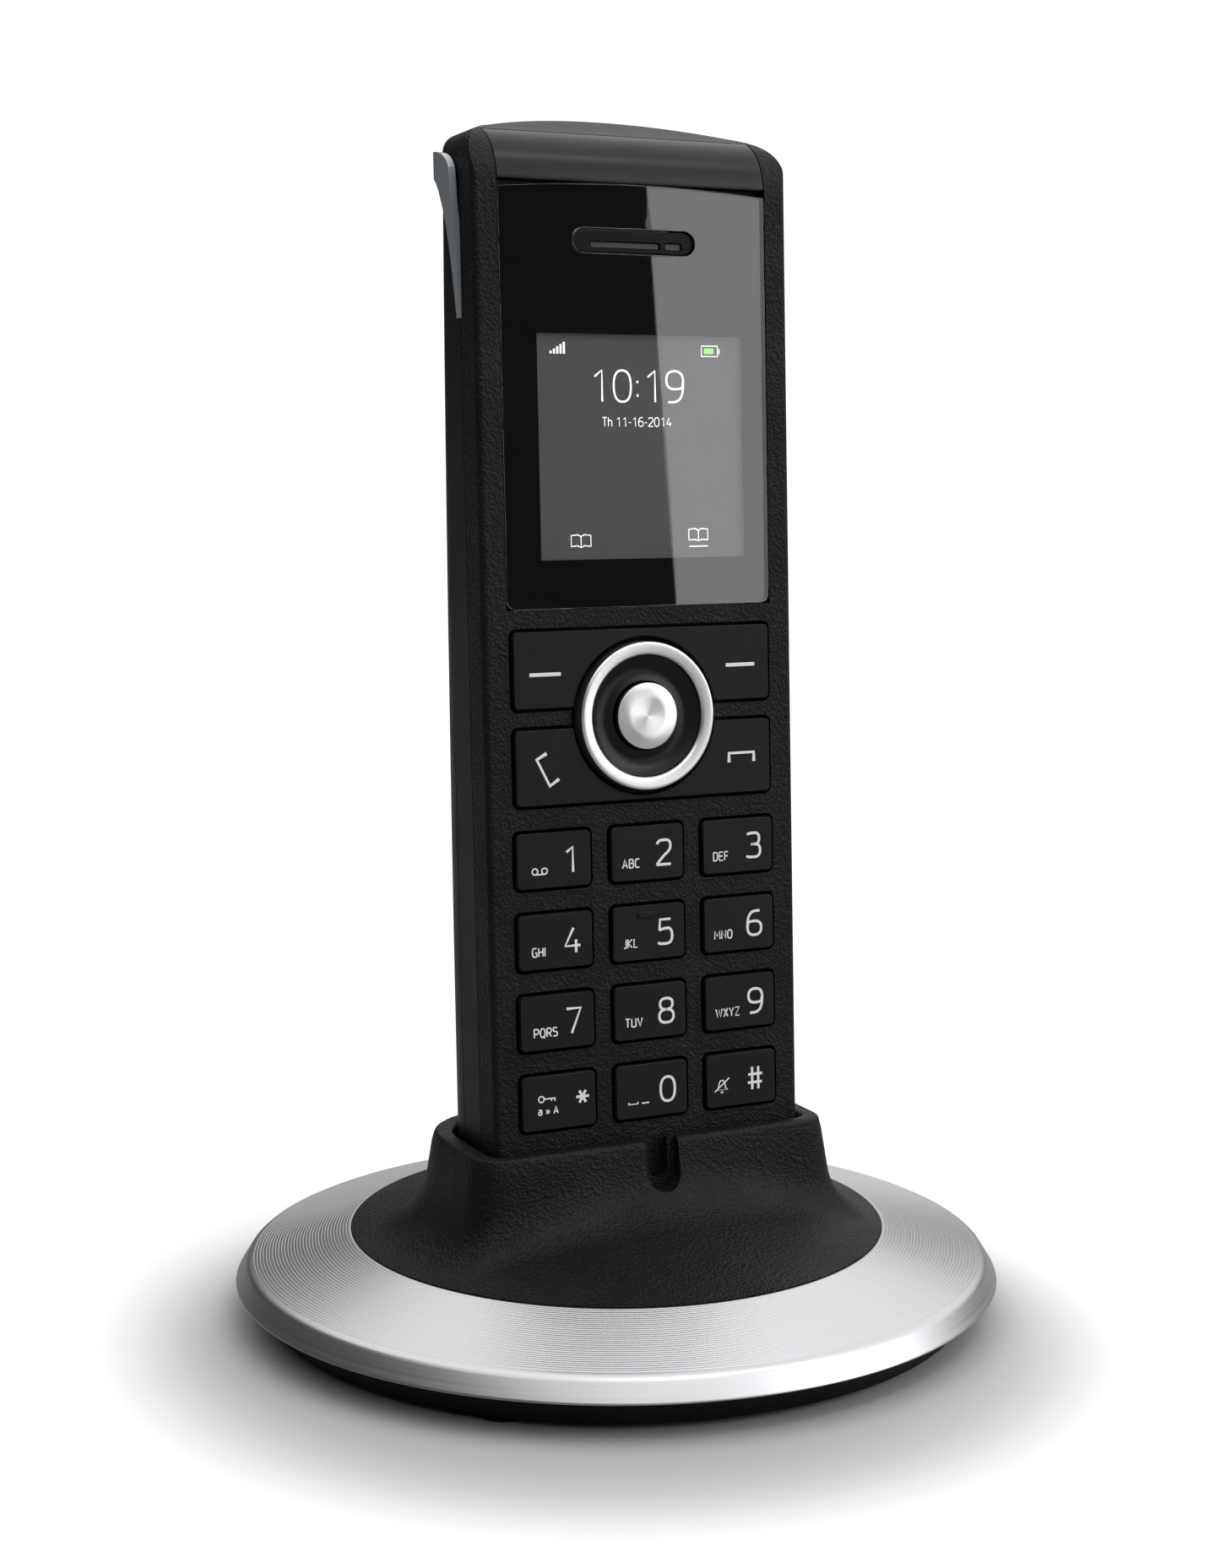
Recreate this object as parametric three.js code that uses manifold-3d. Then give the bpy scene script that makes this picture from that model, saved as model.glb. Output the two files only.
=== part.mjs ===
// Cordless telephone: a slim handset standing in a round charging cradle.
// Millimetres, +Z up. The origin is the centre of the cradle on the surface it stands on. The keypad
// faces -Y, and +X is its right-hand side.
//
// The handset is drawn upright in a frame of its own and then leaned back. In that frame x is
// sideways, y is the depth behind the front face and z is the height above the handset's lower end.

import * as THREE from 'three';
import { mergeVertices } from 'three/addons/utils/BufferGeometryUtils.js';
import Module from 'manifold-3d';

const wasm = await Module();
wasm.setup();

// ---- Driving dimensions ----------------------------------------------------------------------

const GAP = 0.3; // clearance between neighbouring pieces
const FAR = 60; // reaches past any piece of the handset, for cutters

// Cradle: a shallow cone with a cup in its middle, edged by a metal trim ring
const FOOT_HEIGHT = 1.0;
const CONE_EDGE = { r: 38.46, z: 12.16 };
const RING_SHOULDER = { r: 53.0, z: 8.4 };
const RING_LIP = { r: 55.1, z: 5.1 };
const RING_THICKNESS = 1.1;
const COVER_EDGE_R = 50.55;
const COVER_FLOOR_TOP = 3.2;
const SKIRT_R = 51.2;
const CUP_RIM_Z = 27.4;
const CUP_DRAFT = 6; // millimetres down for each millimetre outwards
const CUP_SWEEP = 10; // radius of the hollow curve between the cup's wall and the cone
const SHELL_WALL = 1.8;

// Handset
const HANDSET_WIDTH = 48.1; // over the seam
const SIDE_DRAFT = 0.1; // each side leans in by this much from the seam to the front face
const HANDSET_LENGTH = 152.3;
const ROLL_START = 141.2; // height at which the front face starts to roll back
const SEAM_DEPTH = 4.8; // joint between the front and rear shells
const BACK_CORNER = 8.6; // radius of the long rear edges
const BACK_CORNER_DEPTH = 10.6; // where that rounding starts
const BACK_CROWN = 0.5;
const FRONT_WALL = 2.2;
const LEAN = THREE.MathUtils.degToRad(2.5);
const HANDSET_ORIGIN = new THREE.Vector3(0, -11.52, 17.07);

// Keypad, heights above the lower end of the handset
const KEY_SIZE = { w: 11.2, h: 7.65, r: 0.7 };
const KEY_PITCH = 14.4;
const KEY_ROWS = [50.5, 39.28, 28.05, 16.83];
const KEY_NAMES = [['1', '2', '3'], ['4', '5', '6'], ['7', '8', '9'], ['star', '0', 'hash']];
const KEY_PROUD = 0.5;
const KEY_BACK = 1.7;
const KEY_GAP = 0.45;
const BAR_HALF = 19.8;
const SOFT_BAR = { low: 71.3, high: 81.8 };
const CALL_BAR = { low: 58.05, high: 68.45 };
const NAV_HEIGHT = 69.67;
const NAV_HOLE_R = 11.05;
const NAV_RING = { outer: 10.3, inner: 8.5, proud: 1.7 };
const OK_R = 4.65;

// Window and display
const WINDOW = { half: 20.35, low: 84.8, high: 142.1, r: 1.3, thickness: 1.2 };
const DISPLAY = { half: 17.0, low: 89.5, high: 124.0 };
const EARPIECE = { half: 9.3, height: 3.35, z: 134.47 };

// Cradle contacts
const CONTACT_X = 15;
const CONTACT_DEPTH = 7.7;
const PIN_R = 1.2;
const PAD_R = 2.0;

// ---- Materials -------------------------------------------------------------------------------

function finish(colour, roughness, metalness = 0) {
  return new THREE.MeshStandardMaterial({ color: colour, roughness, metalness });
}

const blackTextured = finish(0x26262a, 0.62);
const blackSmooth = finish(0x222226, 0.45);
const capGrey = finish(0x3c3c40, 0.35);
const glossBlack = finish(0x050506, 0.06);
const screenGrey = finish(0x4a4a4a, 0.3);
const spunAluminium = finish(0xc4c6c8, 0.28, 1);
const chromeFinish = finish(0xe2e3e5, 0.12, 1);
const clipGrey = finish(0x8f959b, 0.4, 0.3);
const rubberBlack = finish(0x17171a, 0.9);
const siliconeGrey = finish(0x3a3b40, 0.8);
const boardGreen = finish(0x1f5a35, 0.5);
const goldPlate = finish(0xc79d4f, 0.25, 1);
const steel = finish(0x9a9c9f, 0.35, 1);
const batteryBlue = finish(0x2c4f86, 0.5);

// ---- Solids ----------------------------------------------------------------------------------

// A closed three.js geometry as a manifold solid with its faces pointing out.
function solid(geometry) {
  const bare = geometry.clone();
  bare.deleteAttribute('normal');
  bare.deleteAttribute('uv');
  const welded = mergeVertices(bare, 1e-4);
  const position = welded.attributes.position;
  const index = welded.index.array;
  const corners = [];
  for (let i = 0; i < index.length; i += 3) {
    const [a, b, c] = [index[i], index[i + 1], index[i + 2]];
    if (a !== b && b !== c && c !== a) corners.push(a, b, c);
  }
  const [p, q, r] = [new THREE.Vector3(), new THREE.Vector3(), new THREE.Vector3()];
  let volume = 0;
  for (let i = 0; i < corners.length; i += 3) {
    p.fromBufferAttribute(position, corners[i]);
    q.fromBufferAttribute(position, corners[i + 1]);
    r.fromBufferAttribute(position, corners[i + 2]);
    volume += p.dot(q.cross(r));
  }
  if (volume < 0) corners.reverse();
  return new wasm.Manifold(new wasm.Mesh({
    numProp: 3,
    vertProperties: new Float32Array(position.array),
    triVerts: new Uint32Array(corners),
  }));
}

function geometryOf(body) {
  const mesh = body.getMesh();
  const geometry = new THREE.BufferGeometry();
  geometry.setAttribute('position', new THREE.BufferAttribute(mesh.vertProperties, 3));
  geometry.setIndex(new THREE.BufferAttribute(mesh.triVerts, 1));
  geometry.computeVertexNormals();
  return geometry;
}

function piece(name, body, material) {
  const mesh = new THREE.Mesh(geometryOf(body), material);
  mesh.name = name;
  return mesh;
}

function box(x0, x1, y0, y1, z0, z1) {
  const geometry = new THREE.BoxGeometry(x1 - x0, y1 - y0, z1 - z0);
  geometry.translate((x0 + x1) / 2, (y0 + y1) / 2, (z0 + z1) / 2);
  return solid(geometry);
}

// A ring or disc about the Z axis; the profile is a list of [radius, height].
function turned(profile, segments = 48) {
  const points = profile.map(([r, z]) => new THREE.Vector2(r, z));
  const geometry = new THREE.LatheGeometry(points, segments);
  geometry.rotateX(Math.PI / 2);
  return solid(geometry);
}

// An upright cylinder.
function post(x, y, radius, z0, z1, segments = 20) {
  const geometry = new THREE.CylinderGeometry(radius, radius, z1 - z0, segments);
  geometry.rotateX(Math.PI / 2);
  geometry.translate(x, y, (z0 + z1) / 2);
  return solid(geometry);
}

// A shape drawn in the front view (x, height), filling the depths y0 to y1.
function frontPlate(shape, y0, y1, curveSegments = 8) {
  const geometry = new THREE.ExtrudeGeometry(shape, { depth: y1 - y0, bevelEnabled: false, curveSegments });
  geometry.rotateX(Math.PI / 2);
  geometry.translate(0, y1, 0);
  return solid(geometry);
}

// A shape drawn in the side view (depth, height), filling x0 to x1.
function sidePlate(shape, x0, x1, curveSegments = 8) {
  const geometry = new THREE.ExtrudeGeometry(shape, { depth: x1 - x0, bevelEnabled: false, curveSegments });
  const depthAxis = new THREE.Vector3(0, 1, 0);
  const heightAxis = new THREE.Vector3(0, 0, 1);
  const sideAxis = new THREE.Vector3(1, 0, 0);
  geometry.applyMatrix4(new THREE.Matrix4().makeBasis(depthAxis, heightAxis, sideAxis));
  geometry.translate(x0, 0, 0);
  return solid(geometry);
}

// A shape drawn in plan (x, depth), filling z0 to z1.
function upright(shape, z0, z1, curveSegments = 8) {
  const geometry = new THREE.ExtrudeGeometry(shape, { depth: z1 - z0, bevelEnabled: false, curveSegments });
  geometry.translate(0, 0, z0);
  return solid(geometry);
}

// A disc or ring facing the front; the profile is a list of [radius, depth].
function frontTurned(profile, x, z, segments = 48) {
  const geometry = new THREE.LatheGeometry(profile.map(([r, y]) => new THREE.Vector2(r, y)), segments);
  geometry.translate(x, 0, z);
  return solid(geometry);
}

function frontDisc(x, z, radius, y0, y1, segments = 24) {
  return frontTurned([[0, y0], [radius, y0], [radius, y1], [0, y1]], x, z, segments);
}

// A rounded rectangle centred on (x, y).
function roundedRect(x, y, width, height, radius) {
  const shape = new THREE.Shape();
  const [right, top] = [x + width / 2, y + height / 2];
  const [left, bottom] = [x - width / 2, y - height / 2];
  shape.moveTo(left + radius, bottom);
  shape.lineTo(right - radius, bottom);
  shape.absarc(right - radius, bottom + radius, radius, -Math.PI / 2, 0);
  shape.lineTo(right, top - radius);
  shape.absarc(right - radius, top - radius, radius, 0, Math.PI / 2);
  shape.lineTo(left + radius, top);
  shape.absarc(left + radius, top - radius, radius, Math.PI / 2, Math.PI);
  shape.lineTo(left, bottom + radius);
  shape.absarc(left + radius, bottom + radius, radius, Math.PI, Math.PI * 1.5);
  return shape;
}

function polygon(points) {
  return new THREE.Shape(points.map(([x, y]) => new THREE.Vector2(x, y)));
}

function joined(first, ...others) {
  return others.reduce((sum, body) => sum.add(body), first);
}

function cut(first, ...others) {
  return others.reduce((left, body) => left.subtract(body), first);
}

// ---- Handset form ----------------------------------------------------------------------------

// Plan section of the handset, grown sideways and backwards by `grow` and forwards by `frontGrow`.
function handsetSection(grow, frontGrow, frontCorner, backScale = 1) {
  const half = HANDSET_WIDTH / 2 + grow;
  const frontHalf = half - SIDE_DRAFT;
  const radius = BACK_CORNER + grow;
  const arcX = half - radius;
  const arcY = SEAM_DEPTH + (BACK_CORNER_DEPTH - SEAM_DEPTH) * backScale;
  const front = -frontGrow;
  const shape = new THREE.Shape();
  shape.moveTo(-frontHalf + frontCorner, front);
  shape.lineTo(frontHalf - frontCorner, front);
  shape.absarc(frontHalf - frontCorner, front + frontCorner, frontCorner, -Math.PI / 2, 0);
  shape.lineTo(half, SEAM_DEPTH);
  shape.lineTo(half, arcY);
  shape.absarc(arcX, arcY, radius, 0, Math.PI / 2);
  shape.quadraticCurveTo(0, arcY + radius + 2 * BACK_CROWN, -arcX, arcY + radius);
  shape.absarc(-arcX, arcY, radius, Math.PI / 2, Math.PI);
  shape.lineTo(-half, SEAM_DEPTH);
  shape.lineTo(-frontHalf, front + frontCorner);
  shape.absarc(-frontHalf + frontCorner, front + frontCorner, frontCorner, Math.PI, Math.PI * 1.5);
  return shape;
}

// The back thins towards the top: its depth behind the seam shrinks with the square of the height.
const BACK_SCALE_LOW = 1.08;
const BACK_THINNING = 1.8e-5;

function backScale(height) {
  return BACK_SCALE_LOW - BACK_THINNING * height * height;
}

// Front view of the handset: square shoulders under a slightly arched top.
function frontOutline(inset) {
  const half = HANDSET_WIDTH / 2 - inset;
  const top = HANDSET_LENGTH - inset;
  const shoulder = { x: 18.6 - inset, drop: 2.16 };
  const shape = new THREE.Shape();
  shape.moveTo(-half + 3.5, inset);
  shape.lineTo(half - 3.5, inset);
  shape.absarc(half - 3.5, inset + 3.5, 3.5, -Math.PI / 2, 0);
  shape.lineTo(half, top - 8);
  shape.quadraticCurveTo(half - 0.1, top - 2.9, shoulder.x, top - shoulder.drop);
  shape.quadraticCurveTo(0, top + shoulder.drop, -shoulder.x, top - shoulder.drop);
  shape.quadraticCurveTo(-half + 0.1, top - 2.9, -half, top - 8);
  shape.lineTo(-half, inset + 3.5);
  shape.absarc(-half + 3.5, inset + 3.5, 3.5, Math.PI, Math.PI * 1.5);
  return shape;
}

// Side view: the front face rolls back, climbs to a ridge over the back, and drops away behind it.
function sideOutline(inset) {
  const shape = new THREE.Shape();
  shape.moveTo(inset, -1);
  shape.lineTo(inset, ROLL_START - inset);
  shape.bezierCurveTo(inset, 145.2 - inset, 1.6 + inset, 147.9 - inset, 5.2 + inset / 2, 149.5 - inset);
  shape.bezierCurveTo(8.0, 150.8 - inset, 10.8, 152.0 - inset, 12.4, 152.5 - inset);
  shape.bezierCurveTo(13.4, 152.8 - inset, 13.9, 151.6 - inset, 15.4 - inset, 147.6 - inset);
  shape.lineTo(FAR, 130);
  shape.lineTo(FAR, -1);
  return shape;
}

// The whole outside form of the handset, or the same form with every side moved in by `inset`.
function handsetForm(inset) {
  const section = handsetSection(-inset, -inset, 0.8);
  const rise = HANDSET_LENGTH + 4;
  const settings = { depth: rise, steps: 9, bevelEnabled: false, curveSegments: 5 };
  const body = new THREE.ExtrudeGeometry(section, settings);
  body.translate(0, 0, -2);
  const position = body.attributes.position;
  for (let i = 0; i < position.count; i++) {
    const depth = position.getY(i);
    if (depth > SEAM_DEPTH) {
      position.setY(i, SEAM_DEPTH + (depth - SEAM_DEPTH) * backScale(Math.max(0, position.getZ(i))));
    }
  }
  const faces = frontPlate(frontOutline(inset), -1, FAR, 6);
  const profile = sidePlate(sideOutline(inset), -FAR, FAR, 6);
  return solid(body).intersect(faces).intersect(profile);
}

const outerForm = handsetForm(0);
const innerForm = handsetForm(SHELL_WALL);
const middleForm = handsetForm(SHELL_WALL / 2); // reaches into the walls, so that ribs join them

// ---- Handset shells --------------------------------------------------------------------------

function keyPlace(row, column) {
  return { x: (column - 1) * KEY_PITCH, z: KEY_ROWS[row] };
}

function keypadOpenings() {
  const cutters = [];
  for (let row = 0; row < KEY_ROWS.length; row++) {
    for (let column = 0; column < 3; column++) {
      const { x, z } = keyPlace(row, column);
      const opening = roundedRect(x, z, KEY_SIZE.w + 2 * KEY_GAP, KEY_SIZE.h + 2 * KEY_GAP, 1.1);
      cutters.push(frontPlate(opening, -1, FRONT_WALL + 1, 3));
    }
  }
  for (const bar of [SOFT_BAR, CALL_BAR]) {
    const middle = (bar.low + bar.high) / 2;
    const opening = roundedRect(0, middle, 2 * (BAR_HALF + KEY_GAP), bar.high - bar.low + 2 * KEY_GAP, 1.1);
    cutters.push(frontPlate(opening, -1, FRONT_WALL + 1, 3));
  }
  cutters.push(frontDisc(0, NAV_HEIGHT, NAV_HOLE_R, -1, FRONT_WALL + 1, 48));
  return cutters;
}

const BOSS = { x: 18, z: 7.5, r: 2.4, bore: 1.3 };
const MIC_HEIGHT = 5;

function frontShell() {
  const band = outerForm.intersect(box(-FAR, FAR, -1, SEAM_DEPTH, -1, 160));
  const half = HANDSET_WIDTH / 2 - SHELL_WALL;
  const inside = box(-half, half, FRONT_WALL, SEAM_DEPTH + 1, SHELL_WALL, WINDOW.high - 0.6);
  const recessWidth = 2 * (WINDOW.half + GAP);
  const recess = box(-recessWidth / 2, recessWidth / 2, -1, WINDOW.thickness + GAP, WINDOW.low - GAP, 160);
  const capSeat = box(-recessWidth / 2, recessWidth / 2, -1, SEAM_DEPTH + 1, WINDOW.high - 0.3, 160);
  const displayHalf = DISPLAY.half + GAP;
  const displayHole = box(-displayHalf, displayHalf, 0, 5, DISPLAY.low - GAP, DISPLAY.high + GAP);
  const earHole = box(-EARPIECE.half, EARPIECE.half, 0, 5, EARPIECE.z - 2.4, EARPIECE.z + 2.4);
  const micHole = frontDisc(0, MIC_HEIGHT, 0.6, -1, FRONT_WALL + 1, 12);
  let shell = cut(band, inside, recess, capSeat, displayHole, earHole, micHole, ...keypadOpenings());
  for (const side of [-1, 1]) {
    shell = shell.add(frontDisc(side * BOSS.x, BOSS.z, BOSS.r, FRONT_WALL - 0.5, SEAM_DEPTH));
    const bore = frontDisc(side * BOSS.x, BOSS.z, BOSS.bore, FRONT_WALL + 0.4, SEAM_DEPTH + 1, 16);
    shell = shell.subtract(bore);
  }
  return shell;
}

function topCap() {
  const seat = box(-WINDOW.half, WINDOW.half, -1, SEAM_DEPTH, WINDOW.high + GAP, 160);
  const hollow = box(-WINDOW.half + 1.8, WINDOW.half - 1.8, 2.2, FAR, 0, HANDSET_LENGTH - 4.4);
  return outerForm.intersect(seat).subtract(hollow);
}

// Side view of the battery door's edge, with the door's clearance as `grow`.
function doorOutline(grow) {
  const shape = new THREE.Shape();
  shape.moveTo(10.6 - grow, -2);
  shape.lineTo(10.6 - grow, 62.5);
  shape.quadraticCurveTo(10.6 - grow, 69.9 + grow, 17, 69.9 + grow);
  shape.lineTo(FAR, 69.9 + grow);
  shape.lineTo(FAR, -2);
  return shape;
}

const PARTITION = { front: 8.4, back: 9.6 };
const BOTTOM_WALL = 2.2;
const SPEAKER = { z: 84, r: 9 };

function rearShell() {
  const behindSeam = box(-FAR, FAR, SEAM_DEPTH + GAP, FAR, -1, 160);
  const outside = outerForm.intersect(behindSeam);
  const inside = innerForm.intersect(box(-FAR, FAR, 0, FAR, BOTTOM_WALL, 160));
  const floor = middleForm.intersect(box(-FAR, FAR, PARTITION.front, PARTITION.back, 1, 72.2));
  const lintel = middleForm.intersect(box(-FAR, FAR, PARTITION.front, FAR, 70.6, 72.2));
  let shell = joined(outside.subtract(inside), floor, lintel);
  shell = shell.subtract(sidePlate(doorOutline(GAP), -FAR, FAR));
  for (const side of [-1, 1]) {
    shell = shell.subtract(post(side * CONTACT_X, CONTACT_DEPTH, PAD_R + GAP, -1, BOTTOM_WALL + 1));
    shell = shell.subtract(frontDisc(side * BOSS.x, BOSS.z, BOSS.bore, PARTITION.front - 1, FAR, 16));
  }
  for (let slot = -2; slot <= 2; slot++) {
    const z = SPEAKER.z + slot * 2.4;
    shell = shell.subtract(box(-6, 6, 12, FAR, z - 0.5, z + 0.5));
  }
  return shell;
}

function batteryDoor() {
  const leaf = outerForm.intersect(sidePlate(doorOutline(0), -FAR, FAR));
  const skinForm = innerForm.intersect(box(-FAR, FAR, 0, FAR, -2, 68.2));
  const lowerEdge = box(-19, 19, 0, 17.6, -2, BOTTOM_WALL);
  return cut(leaf, skinForm, lowerEdge);
}

// ---- Window, display and earpiece ------------------------------------------------------------

function windowPlate() {
  const middle = (WINDOW.low + WINDOW.high) / 2;
  const plate = roundedRect(0, middle, 2 * WINDOW.half, WINDOW.high - WINDOW.low, WINDOW.r);
  const slot = roundedRect(0, EARPIECE.z, 2 * EARPIECE.half, EARPIECE.height, EARPIECE.height / 2 - 0.01);
  return frontPlate(plate, 0, WINDOW.thickness).subtract(frontPlate(slot, -1, 3));
}

const LENS_X = 6.25;

function earpieceTrim() {
  const [width, height] = [2 * (EARPIECE.half - GAP), EARPIECE.height - 2 * GAP];
  const outline = roundedRect(0, EARPIECE.z, width, height, height / 2 - 0.01);
  const trim = frontPlate(outline, 0.4, WINDOW.thickness);
  const sound = frontPlate(roundedRect(-1.1, EARPIECE.z - 0.4, 10.6, 0.9, 0.4), 0, 3, 3);
  const sight = frontPlate(roundedRect(LENS_X, EARPIECE.z - 0.4, 2.5, 1.0, 0.3), 0, 3, 3);
  return cut(trim, sound, sight);
}

function statusLens() {
  return box(LENS_X - 1.6, LENS_X + 1.6, 1.55, 2.2, EARPIECE.z - 1.3, EARPIECE.z + 0.5);
}

function displayModule() {
  return box(-DISPLAY.half, DISPLAY.half, 1.55, 3.2, DISPLAY.low, DISPLAY.high);
}

// ---- Keys ------------------------------------------------------------------------------------

function keyCap(row, column) {
  const { x, z } = keyPlace(row, column);
  return frontPlate(roundedRect(x, z, KEY_SIZE.w, KEY_SIZE.h, KEY_SIZE.r), -KEY_PROUD, KEY_BACK, 3);
}

const NUB = { w: 2.9, h: 0.7, drop: 2.6, proud: 0.35 };

function fiveKey() {
  const { x, z } = keyPlace(1, 1);
  const nub = roundedRect(x, z + NUB.drop, NUB.w, NUB.h, 0.3);
  return keyCap(1, 1).add(frontPlate(nub, -KEY_PROUD - NUB.proud, 0, 3));
}

function keyBar({ low, high }) {
  const bar = roundedRect(0, (low + high) / 2, 2 * BAR_HALF, high - low, KEY_SIZE.r);
  const hub = frontDisc(0, NAV_HEIGHT, NAV_HOLE_R, -5, 5, 48);
  return frontPlate(bar, -KEY_PROUD, 1.5, 3).subtract(hub);
}

function navRing() {
  const { outer, inner, proud } = NAV_RING;
  const profile = [
    [inner, 1.0], [outer, 1.0], [outer, -proud + 0.4], [outer - 0.35, -proud],
    [inner + 0.25, -proud], [inner, -proud + 0.3], [inner, 1.0],
  ];
  return frontTurned(profile, 0, NAV_HEIGHT);
}

function navDish() {
  const [hub, rim] = [OK_R + GAP, NAV_RING.inner - GAP];
  const profile = [
    [hub, 1.0], [rim, 1.0], [rim, -1.1], [6.9, -0.55], [5.7, -0.35], [hub, -0.4], [hub, 1.0],
  ];
  return frontTurned(profile, 0, NAV_HEIGHT);
}

function okButton() {
  const profile = [[0, 0.9], [OK_R, 0.9], [OK_R, -1.2], [OK_R - 0.35, -1.45], [2.4, -1.35], [0, -1.3]];
  return frontTurned(profile, 0, NAV_HEIGHT);
}

// ---- Inside the handset ----------------------------------------------------------------------

function keypadMat() {
  let mat = frontPlate(roundedRect(0, 47, 40.6, 72, 2), 2.5, 3.2, 4);
  for (let row = 0; row < KEY_ROWS.length; row++) {
    for (let column = 0; column < 3; column++) {
      const { x, z } = keyPlace(row, column);
      mat = mat.add(frontDisc(x, z, 1.6, 2.3, 2.6, 12));
    }
  }
  return mat;
}

function batteryPack() {
  return upright(roundedRect(0, 13.7, 33, 7.4, 3.2), 13, 65, 6);
}

function countersunkScrew(headRadius, shankRadius, headHeight, length) {
  const body = turned([
    [0, 0], [headRadius, 0], [headRadius, headHeight], [shankRadius, headHeight],
    [shankRadius, length], [0, length],
  ], 16);
  const recess = joined(box(-1.5, 1.5, -0.3, 0.3, -1, 0.45), box(-0.3, 0.3, -1.5, 1.5, -1, 0.45));
  return body.subtract(recess);
}

// ---- Belt clip -------------------------------------------------------------------------------

const CLIP = { half: 25.25, back: 17.3, corner: 9, thickness: 1 };
const TONGUE = { half: 11, inner: 22.6, thickness: 1.6, low: 98, top: 146.7, root: 143.6 };

// A column with the handset's width and two rounded rear corners.
function wrapColumn(half, back, corner, z0, z1) {
  const shape = new THREE.Shape();
  shape.moveTo(-half, 0);
  shape.lineTo(half, 0);
  shape.absarc(half - corner, back - corner, corner, 0, Math.PI / 2);
  shape.absarc(-half + corner, back - corner, corner, Math.PI / 2, Math.PI);
  shape.lineTo(-half, 0);
  return upright(shape, z0, z1);
}

function beltClipFrame() {
  const { half, back, corner, thickness: t } = CLIP;
  const side = polygon([
    [4.4, 124.1], [5.9, 124.1], [6.2, 132.3], [7.1, 137.2], [7.9, 139.8], [9.4, 142.0], [11.6, 143.3],
    [FAR, 143.4], [FAR, 146.9], [11.0, 146.9], [8.9, 146.4], [6.6, 145.6], [5.2, 144.6], [4.5, 143.2],
    [4.3, 139.6],
  ]);
  const band = wrapColumn(half, back, corner, 120, 150);
  const inside = wrapColumn(half - t, back - t, corner - t, 119, 151);
  return band.subtract(inside).intersect(sidePlate(side, -FAR, FAR));
}

function beltClipTongue() {
  const back = TONGUE.inner + TONGUE.thickness;
  const root = CLIP.back + GAP;
  const outline = polygon([
    [root, TONGUE.root], [TONGUE.inner - 0.6, TONGUE.root], [TONGUE.inner, TONGUE.root - 1],
    [TONGUE.inner, TONGUE.low + 2.4], [TONGUE.inner - 0.9, TONGUE.low + 1.2], [TONGUE.inner - 0.6, TONGUE.low],
    [back - 0.8, TONGUE.low], [back, TONGUE.low + 1.4], [back, TONGUE.top - 2], [back - 2, TONGUE.top],
    [root, TONGUE.top],
  ]);
  const face = roundedRect(0, (TONGUE.low + TONGUE.top) / 2, 2 * TONGUE.half, TONGUE.top - TONGUE.low, 5);
  const shoulders = box(-TONGUE.half, TONGUE.half, 0, FAR, TONGUE.low + 20, TONGUE.top);
  return sidePlate(outline, -TONGUE.half, TONGUE.half).intersect(frontPlate(face, 0, FAR).add(shoulders));
}

// ---- Cradle ----------------------------------------------------------------------------------

const CONE_SLOPE = (CONE_EDGE.z - RING_SHOULDER.z) / (RING_SHOULDER.r - CONE_EDGE.r);

function coneHeight(radius) {
  return CONE_EDGE.z + CONE_SLOPE * (CONE_EDGE.r - radius);
}

// The cup's rim and pocket are the handset's section grown sideways and forwards
const CUP_RIM = { side: 3.45, front: 3.1, corner: 3.8 };
const POCKET = { side: 0.6, front: 0.7, corner: 1.4 };
const CUP_BACK_SCALE = 1.16; // keeps both a little clear of the handset's back
const CUP_ARC_STEPS = 8;
const CUP_RIM_POINTS = 72;

// Outside of the cup from its rim outwards, as (distance, height): a steep wall, then an arc that
// sweeps out until it lies on the cone, and the cone to its edge.
function cupProfile(startRadius, run) {
  const wallAngle = Math.atan(CUP_DRAFT);
  const coneAngle = Math.atan(CONE_SLOPE);
  const meet = (CUP_RIM_Z - coneHeight(startRadius)) / (CUP_DRAFT - CONE_SLOPE);
  const radius = Math.min(CUP_SWEEP, 1.3 * (run - meet));
  const reach = radius * Math.tan((wallAngle - coneAngle) / 2);
  const arcStart = meet - reach * Math.cos(wallAngle);
  const centreS = arcStart + radius * Math.sin(wallAngle);
  const centreZ = CUP_RIM_Z - CUP_DRAFT * arcStart + radius * Math.cos(wallAngle);
  const points = [[0, CUP_RIM_Z], [arcStart / 2, CUP_RIM_Z - CUP_DRAFT * arcStart / 2]];
  for (let i = 0; i <= CUP_ARC_STEPS; i++) {
    const angle = wallAngle + (coneAngle - wallAngle) * i / CUP_ARC_STEPS;
    points.push([centreS - radius * Math.sin(angle), centreZ - radius * Math.cos(angle)]);
  }
  points.push([run, CONE_EDGE.z]);
  return points;
}

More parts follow.
